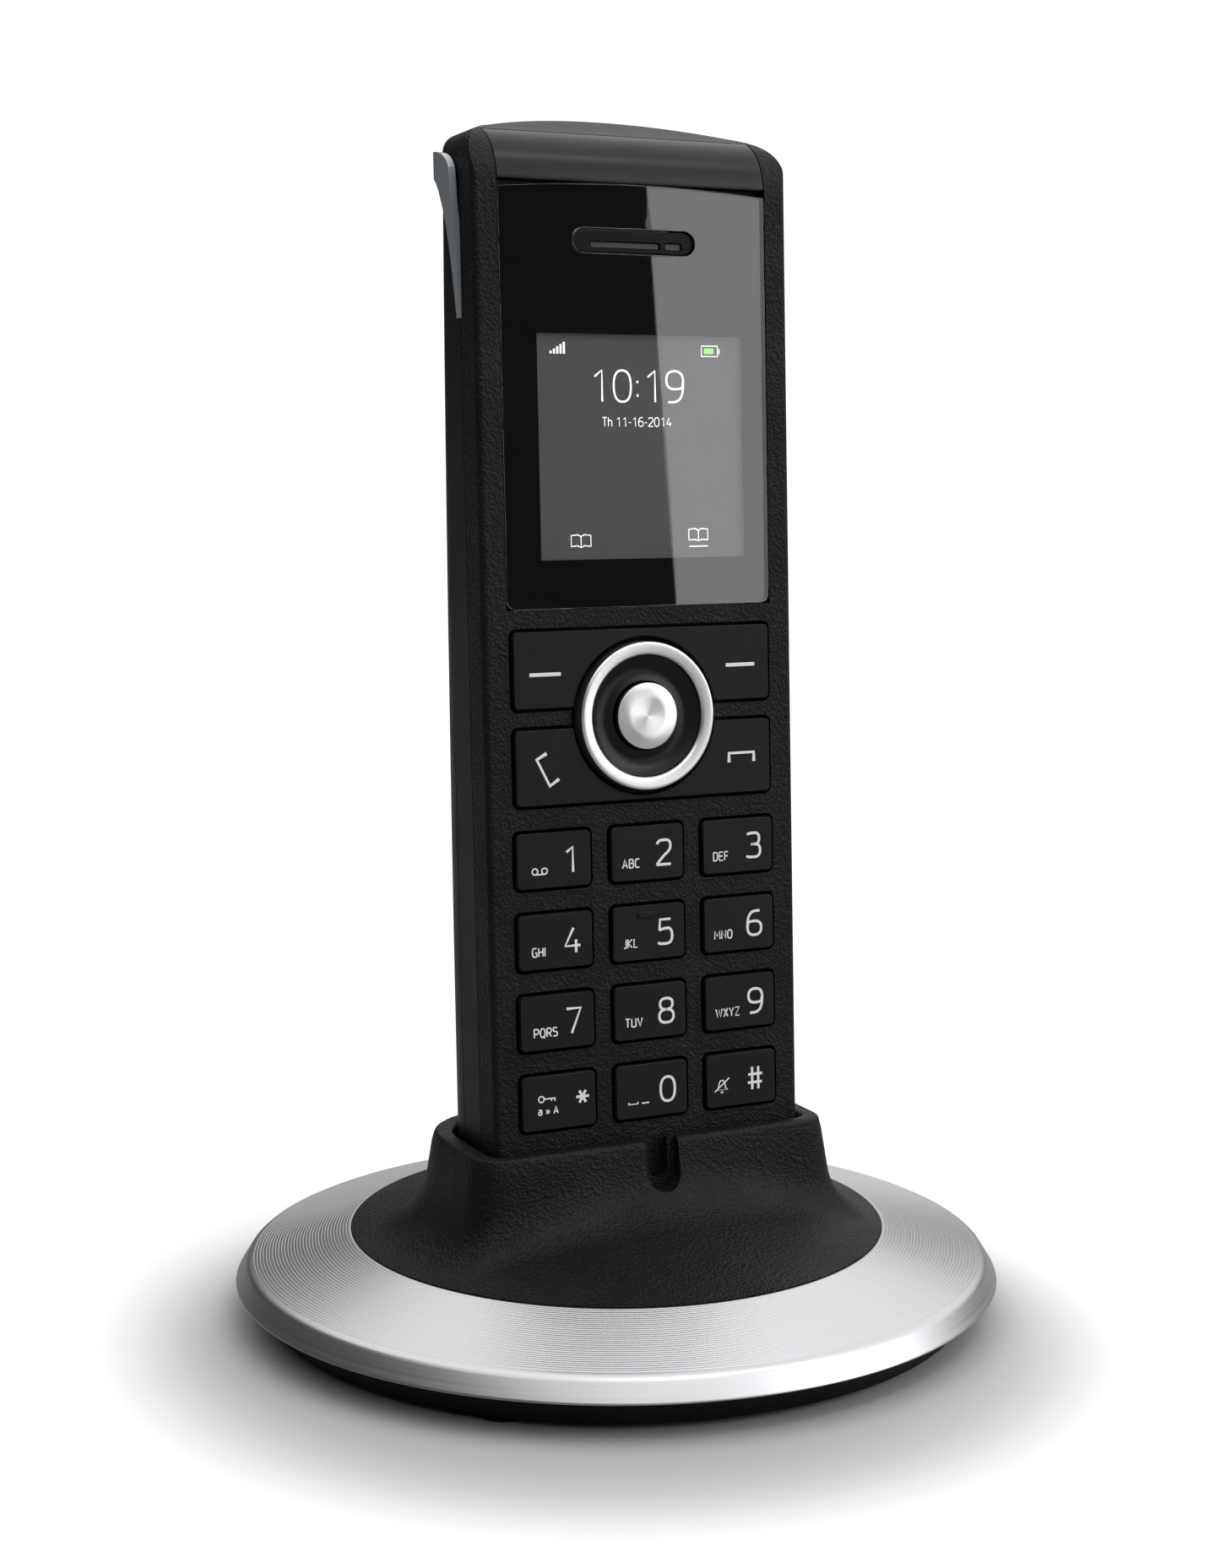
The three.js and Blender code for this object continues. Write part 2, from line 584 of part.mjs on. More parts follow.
// The cup and the cone. The rim follows the handset's section, and each line of the lathe runs from
// the rim straight away from the axis to the cone's edge.
function cupAndCone() {
  const faceY = HANDSET_ORIGIN.y + (CUP_RIM_Z - HANDSET_ORIGIN.z) * Math.tan(LEAN);
  const section = handsetSection(CUP_RIM.side, CUP_RIM.front, CUP_RIM.corner, CUP_BACK_SCALE);
  const rim = section.getSpacedPoints(CUP_RIM_POINTS);
  const levels = CUP_ARC_STEPS + 4; // points of a cup profile
  const segments = rim.length - 1;
  const blank = Array.from({ length: levels + 3 }, (_, i) => new THREE.Vector2(1, i));
  const geometry = new THREE.LatheGeometry(blank, segments);
  const position = geometry.attributes.position;
  for (let i = 0; i <= segments; i++) {
    const start = new THREE.Vector2(rim[i % segments].x, rim[i % segments].y + faceY);
    const end = start.clone().setLength(CONE_EDGE.r);
    const run = start.distanceTo(end);
    const line = [[0, 0, CUP_RIM_Z]];
    for (const [distance, height] of cupProfile(start.length(), run)) {
      const at = start.clone().lerp(end, distance / run);
      line.push([at.x, at.y, height]);
    }
    line.push([end.x, end.y, SKIRT_BOTTOM], [0, 0, SKIRT_BOTTOM]);
    line.forEach(([x, y, z], j) => position.setXYZ(i * line.length + j, x, y, z));
  }
  return solid(geometry);
}

const SKIRT_BOTTOM = 4.7;
const FLANGE_DROP = RING_THICKNESS + GAP;
const CAVITY_ROOF = 10.4;
const HOUSING_SCREWS = [30, 150, 270].map((degrees) => polar(40, degrees));
const FEET = [45, 135, 225, 315].map((degrees) => polar(45.3, degrees));

function polar(radius, degrees) {
  const angle = THREE.MathUtils.degToRad(degrees);
  return { x: radius * Math.cos(angle), y: radius * Math.sin(angle) };
}

// A solid drawn in the handset's own upright frame, moved to where the handset stands.
function leaned(body) {
  const geometry = geometryOf(body);
  geometry.rotateX(-LEAN);
  geometry.translate(HANDSET_ORIGIN.x, HANDSET_ORIGIN.y, HANDSET_ORIGIN.z);
  return solid(geometry);
}

// A column with the pocket's section, a little larger than the handset all round.
function pocketColumn(z0, z1) {
  const { side, front, corner } = POCKET;
  return upright(handsetSection(side, front, corner, CUP_BACK_SCALE), z0, z1);
}

const FLOOR_CLEARANCE = 0.6; // under the handset
const WELL = { depth: 4.2, front: 9.7 }; // room behind for the battery door to slide down

function cradleHousing() {
  const flange = turned([
    [0, SKIRT_BOTTOM], [SKIRT_R, SKIRT_BOTTOM], [SKIRT_R, coneHeight(SKIRT_R) - FLANGE_DROP],
    [CONE_EDGE.r - 0.5, coneHeight(CONE_EDGE.r - 0.5) - FLANGE_DROP], [0, 11],
  ], 72);
  const roofEdge = CONE_EDGE.r - (CAVITY_ROOF - CONE_EDGE.z + FLANGE_DROP + SHELL_WALL) / CONE_SLOPE;
  const skirtInside = SKIRT_R - SHELL_WALL;
  const cavity = turned([
    [0, 0], [skirtInside, 0], [skirtInside, coneHeight(skirtInside) - FLANGE_DROP - SHELL_WALL],
    [roofEdge, CAVITY_ROOF], [0, CAVITY_ROOF],
  ], 72);
  const pocket = joined(
    pocketColumn(-FLOOR_CLEARANCE, 20),
    pocketColumn(-WELL.depth, 0).intersect(box(-FAR, FAR, WELL.front, FAR, -10, 10)),
  );
  const notch = joined(
    frontPlate(roundedRect(0, 9.7, 3.0, 10.2, 1.49), -10, 3),
    frontPlate(roundedRect(0, 9.0, 5.3, 11.8, 2.64), -10, -1.9),
  );
  const underFloor = box(-20, 20, -9.6, -5.6, CAVITY_ROOF - 1, 14.0);
  let housing = cut(cupAndCone().add(flange), cavity, underFloor, leaned(pocket), leaned(notch));
  for (const side of [-1, 1]) {
    housing = housing.subtract(post(side * CONTACT_X, CONTACT_Y, PIN_R + GAP, 5, 25));
    housing = housing.add(post(side * 12, 14, 2.4, BOARD.top + GAP, CAVITY_ROOF + 1, 16));
  }
  for (const { x, y } of HOUSING_SCREWS) {
    housing = housing.add(post(x, y, 3.2, COVER_FLOOR_TOP + GAP, 9.4));
    housing = housing.subtract(post(x, y, 1.4, 3, 8.2, 16));
  }
  return housing;
}

function cradleTrimRing() {
  const inner = CONE_EDGE.r + GAP;
  const { r, z } = RING_LIP;
  return turned([
    [inner, coneHeight(inner)], [52.6, coneHeight(52.6)], [53.4, 8.1], [53.9, 7.5],
    [r - 0.1, z + 0.5], [r, z], [r - 1.2, z], [52.9, 6.9], [52.0, coneHeight(52) - RING_THICKNESS],
    [inner, coneHeight(inner) - RING_THICKNESS], [inner, coneHeight(inner)],
  ], 90);
}

const CHANNEL = { half: 3.2, ceiling: 3.8, top: 4.4 }; // for the cord, under the cover
const SOCKET = { half: 7, y0: 18, y1: 31 }; // recess round the inlet

function cradleBottomCover() {
  const dish = turned([
    [0, FOOT_HEIGHT], [COVER_EDGE_R, FOOT_HEIGHT], [53.4, 4.4], [51.4, 4.4], [49.4, COVER_FLOOR_TOP],
    [0, COVER_FLOOR_TOP],
  ], 72);
  const wall = 1.2;
  const raised = joined(
    box(-SOCKET.half - wall, SOCKET.half + wall, SOCKET.y0 - wall, SOCKET.y1 + wall, 2, CHANNEL.top),
    box(-CHANNEL.half - wall, CHANNEL.half + wall, SOCKET.y1, 50, 2, CHANNEL.top),
  );
  const hollow = joined(
    box(-SOCKET.half, SOCKET.half, SOCKET.y0, SOCKET.y1, 0, CHANNEL.ceiling),
    box(-CHANNEL.half, CHANNEL.half, SOCKET.y1 - 1, 60, 0, CHANNEL.ceiling),
    box(-3.4, 3.4, 21.4, 27.6, 0, 6),
  );
  let cover = dish.add(raised).subtract(hollow);
  for (const { x, y } of HOUSING_SCREWS) {
    cover = cut(cover, post(x, y, 1.7, 0, 6, 16), post(x, y, 3.3, 0, 2.4));
  }
  for (const { x, y } of FEET) cover = cover.subtract(post(x, y, 4.7, 0, FOOT_HEIGHT + 0.6, 24));
  return cover;
}

const BOARD = { bottom: 6.4, top: 8.0 };

function chargingBoard() {
  const board = box(-19, 19, -14, 17, BOARD.bottom, BOARD.top);
  const chip = box(-9, -3, -11, -7, BOARD.top - 0.5, BOARD.top + 1.4);
  const coil = box(4, 9, -10, -6, BOARD.top - 0.5, BOARD.top + 1.2);
  return joined(board, chip, coil);
}

function dcInlet() {
  const shell = box(-4.5, 4.5, 20, 29, 4.7, 10.0);
  const mouth = box(-3.2, 3.2, 21.8, 27.2, 4, 8.6);
  const blade = box(-2.2, 2.2, 24.0, 25.0, 5.4, 9);
  return shell.subtract(mouth).add(blade);
}

const CONTACT_Y = HANDSET_ORIGIN.y + CONTACT_DEPTH * Math.cos(LEAN);
const PIN_TIP_Z = HANDSET_ORIGIN.z - CONTACT_DEPTH * Math.sin(LEAN) + 0.55;

function contactPin(side) {
  const pin = turned([
    [0, 9.2], [PIN_R, 9.2], [PIN_R, PIN_TIP_Z - 0.8], [PIN_R * 0.75, PIN_TIP_Z - 0.2], [0, PIN_TIP_Z],
  ], 20);
  return pin.translate([side * CONTACT_X, CONTACT_Y, 0]);
}

// ---- Assembly --------------------------------------------------------------------------------

function cradle() {
  const group = new THREE.Group();
  group.add(piece('cradle_housing', cradleHousing(), blackTextured));
  group.add(piece('cradle_trim_ring', cradleTrimRing(), spunAluminium));
  group.add(piece('cradle_bottom_cover', cradleBottomCover(), blackSmooth));
  group.add(piece('charging_board', chargingBoard(), boardGreen));
  group.add(piece('dc_inlet', dcInlet(), blackSmooth));
  FEET.forEach(({ x, y }, i) => {
    group.add(piece(`cradle_foot_${i + 1}`, post(x, y, 4.4, 0, FOOT_HEIGHT + 0.3, 24), rubberBlack));
  });
  HOUSING_SCREWS.forEach(({ x, y }, i) => {
    const screw = piece(`cradle_screw_${i + 1}`, countersunkScrew(2.9, 1.1, 1.0, 6.4), steel);
    screw.position.set(x, y, FOOT_HEIGHT + 0.1);
    group.add(screw);
  });
  group.add(piece('contact_pin_left', contactPin(-1), goldPlate));
  group.add(piece('contact_pin_right', contactPin(1), goldPlate));
  return group;
}

function keypad() {
  const group = new THREE.Group();
  KEY_NAMES.forEach((names, row) => names.forEach((name, column) => {
    const body = name === '5' ? fiveKey() : keyCap(row, column);
    group.add(piece(`key_${name}`, body, blackSmooth));
  }));
  group.add(piece('soft_key_bar', keyBar(SOFT_BAR), blackSmooth));
  group.add(piece('call_key_bar', keyBar(CALL_BAR), blackSmooth));
  group.add(piece('nav_gimbal', frontDisc(0, NAV_HEIGHT, 7, 1.6, 2.1, 32), blackSmooth));
  group.add(piece('nav_ring', navRing(), chromeFinish));
  group.add(piece('nav_dish', navDish(), glossBlack));
  group.add(piece('ok_button', okButton(), spunAluminium));
  return group;
}

function handset() {
  const group = new THREE.Group();
  group.add(piece('front_shell', frontShell(), blackTextured));
  group.add(piece('top_cap', topCap(), capGrey));
  group.add(piece('rear_shell', rearShell(), blackSmooth));
  group.add(piece('battery_door', batteryDoor(), blackSmooth));
  group.add(piece('display_window', windowPlate(), glossBlack));
  group.add(piece('display_module', displayModule(), screenGrey));
  group.add(piece('earpiece_trim', earpieceTrim(), blackSmooth));
  group.add(piece('status_lens', statusLens(), siliconeGrey));
  group.add(piece('earpiece_speaker', box(-8.5, 6.5, 2.5, 5.0, EARPIECE.z - 3, EARPIECE.z + 3), steel));
  group.add(keypad());
  group.add(piece('keypad_mat', keypadMat(), siliconeGrey));
  group.add(piece('main_board', frontPlate(roundedRect(0, 70.5, 40, 117, 2), 3.5, 4.7, 3), boardGreen));
  group.add(piece('microphone', frontDisc(0, MIC_HEIGHT, 2.4, 2.5, 4.2, 20), steel));
  group.add(piece('loudspeaker', frontDisc(0, SPEAKER.z, SPEAKER.r, 13.4, 16.4, 32), steel));
  group.add(piece('battery_pack', batteryPack(), batteryBlue));
  for (const [side, label] of [[-1, 'left'], [1, 'right']]) {
    const pad = post(side * CONTACT_X, CONTACT_DEPTH, PAD_R, 0.9, 2.8, 20);
    group.add(piece(`charge_pad_${label}`, pad, goldPlate));
    const screw = piece(`shell_screw_${label}`, countersunkScrew(2.1, 1.0, 1.1, 8.0), steel);
    screw.rotation.x = Math.PI / 2;
    screw.position.set(side * BOSS.x, PARTITION.back + GAP + 1.1, BOSS.z);
    group.add(screw);
  }
  group.add(piece('belt_clip_frame', beltClipFrame(), clipGrey));
  group.add(piece('belt_clip_tongue', beltClipTongue(), clipGrey));
  group.rotation.x = -LEAN;
  group.position.copy(HANDSET_ORIGIN);
  return group;
}

const phone = new THREE.Group();
phone.add(cradle(), handset());

export default phone;
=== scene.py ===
# Cordless telephone: a slim handset standing in a round charging cradle.
# Sizes are in millimetres on the bench where each piece is made, and every finished piece is put in
# place in metres. The file follows the object as it is put together, from the desk upwards.

import math

import bmesh
import bpy
from mathutils import Matrix, Vector


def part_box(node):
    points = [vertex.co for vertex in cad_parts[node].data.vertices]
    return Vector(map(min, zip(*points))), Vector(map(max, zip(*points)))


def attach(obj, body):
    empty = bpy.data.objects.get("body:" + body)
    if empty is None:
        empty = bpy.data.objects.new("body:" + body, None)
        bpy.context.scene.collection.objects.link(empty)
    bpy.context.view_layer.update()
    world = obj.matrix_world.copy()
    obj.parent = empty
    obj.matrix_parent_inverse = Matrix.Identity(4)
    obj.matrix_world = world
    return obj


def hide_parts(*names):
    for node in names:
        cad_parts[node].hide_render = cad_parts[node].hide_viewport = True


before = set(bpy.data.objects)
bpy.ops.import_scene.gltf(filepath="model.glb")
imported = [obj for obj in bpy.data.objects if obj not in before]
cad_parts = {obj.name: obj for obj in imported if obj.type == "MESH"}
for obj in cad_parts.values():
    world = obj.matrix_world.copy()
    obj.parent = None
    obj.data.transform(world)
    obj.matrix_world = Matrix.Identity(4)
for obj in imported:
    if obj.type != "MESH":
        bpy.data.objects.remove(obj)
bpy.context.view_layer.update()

# ---- Cradle's bottom cover and feet ----------------------------------------------------------
# The dish under the cradle is injection-moulded ABS with a fine spark-eroded grain, and it stands on
# four rubber feet pushed into round seats. Three steel screws hold it to the housing above.

MM = 0.001


def linear(hex_colour):
    """An sRGB hex colour as linear red, green, blue and alpha."""
    channels = [int(hex_colour[i:i + 2], 16) / 255 for i in (0, 2, 4)]
    return [c / 12.92 if c <= 0.04045 else ((c + 0.055) / 1.055) ** 2.4 for c in channels] + [1.0]


def add_node(material, kind, settings=None, links=None):
    """Adds one node to a material; settings go to its sockets or attributes, links to its inputs."""
    node = material.node_tree.nodes.new(kind)
    for key, value in (settings or {}).items():
        if isinstance(key, int) or key in node.inputs:
            node.inputs[key].default_value = value
        else:
            setattr(node, key, value)
    for key, source in (links or {}).items():
        material.node_tree.links.new(source, node.inputs[key])
    return node


def new_material(name, settings):
    """A material with one Principled shader; returns both."""
    material = bpy.data.materials.new(name)
    material.use_nodes = True
    shader = material.node_tree.nodes["Principled BSDF"]
    for key, value in settings.items():
        shader.inputs[key].default_value = value
    return material, shader


def moulded_plastic(name, dark, light, roughness, grain_mm, depth_mm, gloss=0.3):
    """Injection-moulded plastic: pits and lands, with the lands a shade lighter where they are rubbed."""
    material, shader = new_material(name, {"IOR": 1.53, "Specular IOR Level": gloss})
    place_at = add_node(material, "ShaderNodeTexCoord").outputs["Object"]
    scale = 1 / (grain_mm * MM)
    cells = add_node(material, "ShaderNodeTexVoronoi",
                     {"Scale": scale, "feature": "SMOOTH_F1", "Smoothness": 0.6}, {"Vector": place_at})
    drift = add_node(material, "ShaderNodeTexNoise", {"Scale": scale * 0.55, "Detail": 3.0},
                     {"Vector": place_at})
    height = add_node(material, "ShaderNodeMath", {"operation": "ADD"},
                      {0: cells.outputs["Distance"], 1: drift.outputs["Fac"]})
    bump = add_node(material, "ShaderNodeBump", {"Strength": 1.0, "Distance": depth_mm * MM},
                    {"Height": height.outputs[0]})
    wear = add_node(material, "ShaderNodeTexNoise", {"Scale": 1 / (9 * MM), "Detail": 4.0},
                    {"Vector": place_at})
    rubbed = add_node(material, "ShaderNodeMath", {"operation": "MULTIPLY"},
                      {0: height.outputs[0], 1: wear.outputs["Fac"]})
    tint = add_node(material, "ShaderNodeMix",
                    {"data_type": "RGBA", 6: linear(dark), 7: linear(light)}, {0: rubbed.outputs[0]})
    rough = add_node(material, "ShaderNodeMapRange",
                     {"To Min": roughness + 0.08, "To Max": roughness - 0.08},
                     {"Value": wear.outputs["Fac"]})
    links = material.node_tree.links
    links.new(tint.outputs[2], shader.inputs["Base Color"])
    links.new(rough.outputs[0], shader.inputs["Roughness"])
    links.new(bump.outputs["Normal"], shader.inputs["Normal"])
    return material


def finish_cad(material, *names):
    """Gives CAD nodes that stay in sight their material."""
    for name in names:
        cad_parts[name].data.materials.clear()
        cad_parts[name].data.materials.append(material)


# Fine, even speckle without a shine: the cover reads as a dark edge under the bright ring.
cover_abs = moulded_plastic("spark_eroded_abs", "08080a", "131316", 0.5, 0.25, 0.02, 0.1)
# Dull and slightly dusty; the feet hold no highlight at all.
foot_rubber = moulded_plastic("moulded_rubber", "0a0a0b", "141415", 0.85, 0.4, 0.02, 0.1)
finish_cad(cover_abs, "cradle_bottom_cover", "dc_inlet")
finish_cad(foot_rubber, *[f"cradle_foot_{i}" for i in range(1, 5)])

# ---- Inside the cradle and handset -----------------------------------------------------------
# Boards of green-masked glass fibre, zinc-plated steel screws and speaker cans, gold-plated contacts,
# a shrink-wrapped battery and a silicone key mat. They stay out of sight in the closed product.


def plated_metal(name, colour, roughness, brush_mm=0.3):
    """Rolled or plated metal with faint drawn lines."""
    material, shader = new_material(name, {"Base Color": linear(colour), "Metallic": 1.0})
    place_at = add_node(material, "ShaderNodeTexCoord").outputs["Object"]
    stretch = add_node(material, "ShaderNodeMapping", {"Scale": (1, 0.1, 1)}, {"Vector": place_at})
    lines = add_node(material, "ShaderNodeTexNoise", {"Scale": 1 / (brush_mm * MM), "Detail": 3.0},
                     {"Vector": stretch.outputs[0]})
    rough = add_node(material, "ShaderNodeMapRange", {"To Min": roughness * 0.7, "To Max": roughness * 1.3},
                     {"Value": lines.outputs["Fac"]})
    material.node_tree.links.new(rough.outputs[0], shader.inputs["Roughness"])
    return material


# Satin green over copper, matt black silicone, glossy blue film, and the dull and warm gleam of plating.
solder_mask = moulded_plastic("green_solder_mask", "0c3a1e", "134a28", 0.35, 1.2, 0.005)
key_silicone = moulded_plastic("black_silicone", "0b0b0c", "111112", 0.7, 0.5, 0.01)
battery_wrap = moulded_plastic("shrink_wrap_pvc", "1e3a6e", "2a4a80", 0.35, 3.0, 0.02)
zinc_steel = plated_metal("zinc_plated_steel", "9fa2a6", 0.35)
gold_plate = plated_metal("gold_plated_brass", "d2a95e", 0.22)
finish_cad(solder_mask, "charging_board", "main_board")
finish_cad(key_silicone, "keypad_mat", "status_lens")
finish_cad(battery_wrap, "battery_pack")
finish_cad(zinc_steel, "cradle_screw_1", "cradle_screw_2", "cradle_screw_3", "shell_screw_left",
           "shell_screw_right", "earpiece_speaker", "loudspeaker", "microphone")
finish_cad(gold_plate, "contact_pin_left", "contact_pin_right", "charge_pad_left", "charge_pad_right")

# ---- Cradle's trim ring ----------------------------------------------------------------------
# A ring spun from aluminium sheet and turned with fine concentric grooves, left bright, with a smooth
# rolled edge. The turned lines pull its highlights into broad bright and dark sectors.

CONE_EDGE = (38.46, 12.16)  # radius and height where the ring meets the black cone
RING_SHOULDER = (53.0, 8.4)
CONE_SLOPE = (CONE_EDGE[1] - RING_SHOULDER[1]) / (RING_SHOULDER[0] - CONE_EDGE[0])
GROOVE_PITCH = 0.44
GROOVE_DEPTH = 0.06
GROOVES = 31
ring_low, ring_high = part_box("cradle_trim_ring")
RING_CENTRE = (ring_low + ring_high) / 2


def cone_height(radius):
    return CONE_EDGE[1] + CONE_SLOPE * (CONE_EDGE[0] - radius)


def deselect():
    if bpy.context.object and bpy.context.object.mode != "OBJECT":
        bpy.ops.object.mode_set(mode="OBJECT")
    bpy.ops.object.select_all(action="DESELECT")


def activate(obj):
    deselect()
    obj.select_set(True)
    bpy.context.view_layer.objects.active = obj
    return obj


def wire(name, points, closed=False):
    """A line of points as a mesh, ready to be spun or filled."""
    mesh = bpy.data.meshes.new(name)
    edges = [(i, i + 1) for i in range(len(points) - 1)]
    if closed:
        edges.append((len(points) - 1, 0))
    mesh.from_pydata(points, edges, [])
    obj = bpy.data.objects.new(name, mesh)
    bpy.context.collection.objects.link(obj)
    return activate(obj)


def clean(obj, merge=0.0005):
    """Welds the seams of a mesh and turns its faces outwards."""
    activate(obj)
    bpy.ops.object.mode_set(mode="EDIT")
    bpy.ops.mesh.select_all(action="SELECT")
    bpy.ops.mesh.remove_doubles(threshold=merge)
    bpy.ops.mesh.dissolve_degenerate(threshold=merge / 5)
    bpy.ops.mesh.normals_make_consistent(inside=False)
    bpy.ops.object.mode_set(mode="OBJECT")
    return obj


def spun(name, profile, steps, axis=(0, 0, 1), centre=(0, 0, 0)):
    """Turns a closed profile of (radius, height) points about an axis through the centre."""
    along = Vector(axis)
    across = Vector((1, 0, 0))
    points = [Vector(centre) + across * r + along * h for r, h in profile]
    obj = wire(name, points, closed=profile[0][0] > 0)
    bpy.ops.object.mode_set(mode="EDIT")
    bpy.ops.mesh.select_all(action="SELECT")
    bpy.ops.mesh.spin(steps=steps, angle=2 * math.pi, center=centre, axis=axis)
    return clean(obj)


def place(obj, matrix):
    """Takes a piece from the bench, where it is in millimetres, to its place in metres."""
    obj.data.transform(matrix)
    obj.matrix_world = Matrix.Identity(4)
    return obj


def smooth(obj, degrees=30):
    """Smooth shading that leaves flat faces flat up to their rounded edges."""
    activate(obj)
    bpy.ops.object.shade_smooth_by_angle(angle=math.radians(degrees))
    modifier = obj.modifiers.new("flat_faces_stay_flat", "WEIGHTED_NORMAL")
    modifier.keep_sharp = True
    bpy.ops.object.modifier_apply(modifier=modifier.name)
    return obj


def complete(obj, material, body, *replaced, degrees=30):
    """The last step of every piece: its material, its smooth shading and the body that carries it."""
    obj.data.materials.clear()
    obj.data.materials.append(material)
    smooth(obj, degrees)
    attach(obj, body)
    if replaced:
        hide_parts(*replaced)
    return obj


def arc(centre, radius, start, end, steps):
    """Points on a round stretch of an outline; angles in degrees."""
    return [(centre[0] + radius * math.cos(math.radians(start + (end - start) * i / steps)),
             centre[1] + radius * math.sin(math.radians(start + (end - start) * i / steps)))
            for i in range(steps + 1)]


def turned_metal(name, colour, roughness, pitch_mm, depth_mm, centre, axis=(0, 0, 1), drawn=0.75):
    """Metal turned in a lathe: fine rings about an axis, which stretch each highlight into a wedge."""
    material, shader = new_material(name, {
        "Base Color": linear(colour), "Metallic": 1.0, "Roughness": roughness, "Anisotropic": drawn})
    place_at = add_node(material, "ShaderNodeTexCoord").outputs["Object"]
    spoke = add_node(material, "ShaderNodeVectorMath", {"operation": "SUBTRACT", 1: centre}, {0: place_at})
    lathe_axis = tuple(Vector(axis).normalized())
    tangent = add_node(material, "ShaderNodeVectorMath", {"operation": "CROSS_PRODUCT", 1: lathe_axis},
                       {0: spoke.outputs[0]})
    radius = add_node(material, "ShaderNodeVectorMath", {"operation": "LENGTH"}, {0: tangent.outputs[0]})
    rings = add_node(material, "ShaderNodeTexNoise",
                     {"noise_dimensions": "1D", "Scale": 1 / (pitch_mm * MM), "Detail": 2.0},
                     {"W": radius.outputs["Value"]})
    bump = add_node(material, "ShaderNodeBump", {"Strength": 1.0, "Distance": depth_mm * MM},
                    {"Height": rings.outputs["Fac"]})
    rough = add_node(material, "ShaderNodeMapRange",
                     {"To Min": roughness * 0.85, "To Max": roughness * 1.15},
                     {"Value": rings.outputs["Fac"]})
    direction = add_node(material, "ShaderNodeVectorMath", {"operation": "NORMALIZE"},
                         {0: tangent.outputs[0]})
    links = material.node_tree.links
    links.new(rough.outputs[0], shader.inputs["Roughness"])
    links.new(bump.outputs["Normal"], shader.inputs["Normal"])
    links.new(direction.outputs[0], shader.inputs["Tangent"])
    return material


# Bright sectors that fade round the ring, broken up by its fine concentric lines.
ring_aluminium = turned_metal("turned_aluminium", "bebfc1", 0.34, 0.3, 0.003, RING_CENTRE, drawn=0.45)


def ring_profile():
    inner = CONE_EDGE[0] + 0.12
    points = [(inner, cone_height(inner) - 1.0), (inner, cone_height(inner) - 0.12)]
    for groove in range(GROOVES):
        start = inner + 0.25 + groove * GROOVE_PITCH
        points += [(start, cone_height(start)),
                   (start + GROOVE_PITCH * 0.62, cone_height(start + GROOVE_PITCH * 0.62)),
                   (start + GROOVE_PITCH * 0.81, cone_height(start + GROOVE_PITCH * 0.81) - GROOVE_DEPTH)]
    points += [(52.5, cone_height(52.5)), (52.8, 8.4), (53.15, 8.24), (53.45, 7.98), (53.68, 7.6)]
    points += [(54.98, 5.5), (55.06, 5.25), (54.98, 5.12), (54.0, 5.12), (52.9, 6.95), (52.0, 7.5)]
    return points


trim_ring = spun("trim_ring", ring_profile(), 256)
place(trim_ring, Matrix.Scale(MM, 4))
complete(trim_ring, ring_aluminium, "cradle", "cradle_trim_ring")

# ---- Cradle housing --------------------------------------------------------------------------
# The black cone and the cup are one ABS moulding with a fine leather grain. The cup's rim follows the
# handset, its walls sweep out in a hollow curve, and a slot in front leaves the microphone clear.

LEAN = math.radians(2.5)
HALF_WIDTH = 24.05
SIDE_DRAFT = 0.1  # each side leans in by this much from the seam to the front
SEAM = 4.8  # depth of the joint between the handset's shells
CORNER_R = 8.6
CORNER_DEPTH = 10.6
CROWN = 0.5
BACK_LOW = 1.08
BACK_THINNING = 1.8e-5
CUP_RIM = 27.4
CUP_DRAFT = 6.0
CUP_SWEEP = 10.0
CUP_BACK = 1.16
DISPLAY_MIDDLE = Vector((0, 2.375, 106.75))  # the display module in the handset's own frame
display_low, display_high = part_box("display_module")
UPRIGHT_TO_LEANED = Matrix.Rotation(-LEAN, 4, "X") @ Matrix.Scale(MM, 4)
handset_pose = Matrix.Translation((display_low + display_high) / 2 - UPRIGHT_TO_LEANED @ DISPLAY_MIDDLE)
handset_pose = handset_pose @ UPRIGHT_TO_LEANED
HANDSET_FOOT = handset_pose.translation / MM


def handset_section(grow, front_grow, front_corner, back=1.0, arc_steps=14):
    """Plan section of the handset (x, depth), grown all round."""
    half = HALF_WIDTH + grow
    radius = CORNER_R + grow
    arc_x = half - radius
    arc_y = SEAM + (CORNER_DEPTH - SEAM) * back
    front = -front_grow
    crown = [(arc_x * (1 - i / 6), arc_y + radius + 2 * CROWN * (i / 12) * (2 - i / 6))
             for i in range(1, 12)]
    corner_x = half - SIDE_DRAFT - front_corner
    return (arc((-corner_x, front + front_corner), front_corner, 180, 270, 6)
            + arc((corner_x, front + front_corner), front_corner, 270, 360, 6)
            + [(half, SEAM)] + arc((arc_x, arc_y), radius, 0, 90, arc_steps) + crown
            + arc((-arc_x, arc_y), radius, 90, 180, arc_steps) + [(-half, SEAM)])


def spaced(outline, count):
    """The closed outline again, with evenly spaced points."""
    points = [Vector(p) for p in outline] + [Vector(outline[0])]
    lengths = [0.0]
    for a, b in zip(points, points[1:]):
        lengths.append(lengths[-1] + (b - a).length)
    result = []
    span = 0
    for i in range(count):
        target = lengths[-1] * i / count
        while lengths[span + 1] < target:
            span += 1
        t = (target - lengths[span]) / max(lengths[span + 1] - lengths[span], 1e-9)
        result.append(points[span].lerp(points[span + 1], t))
    return result


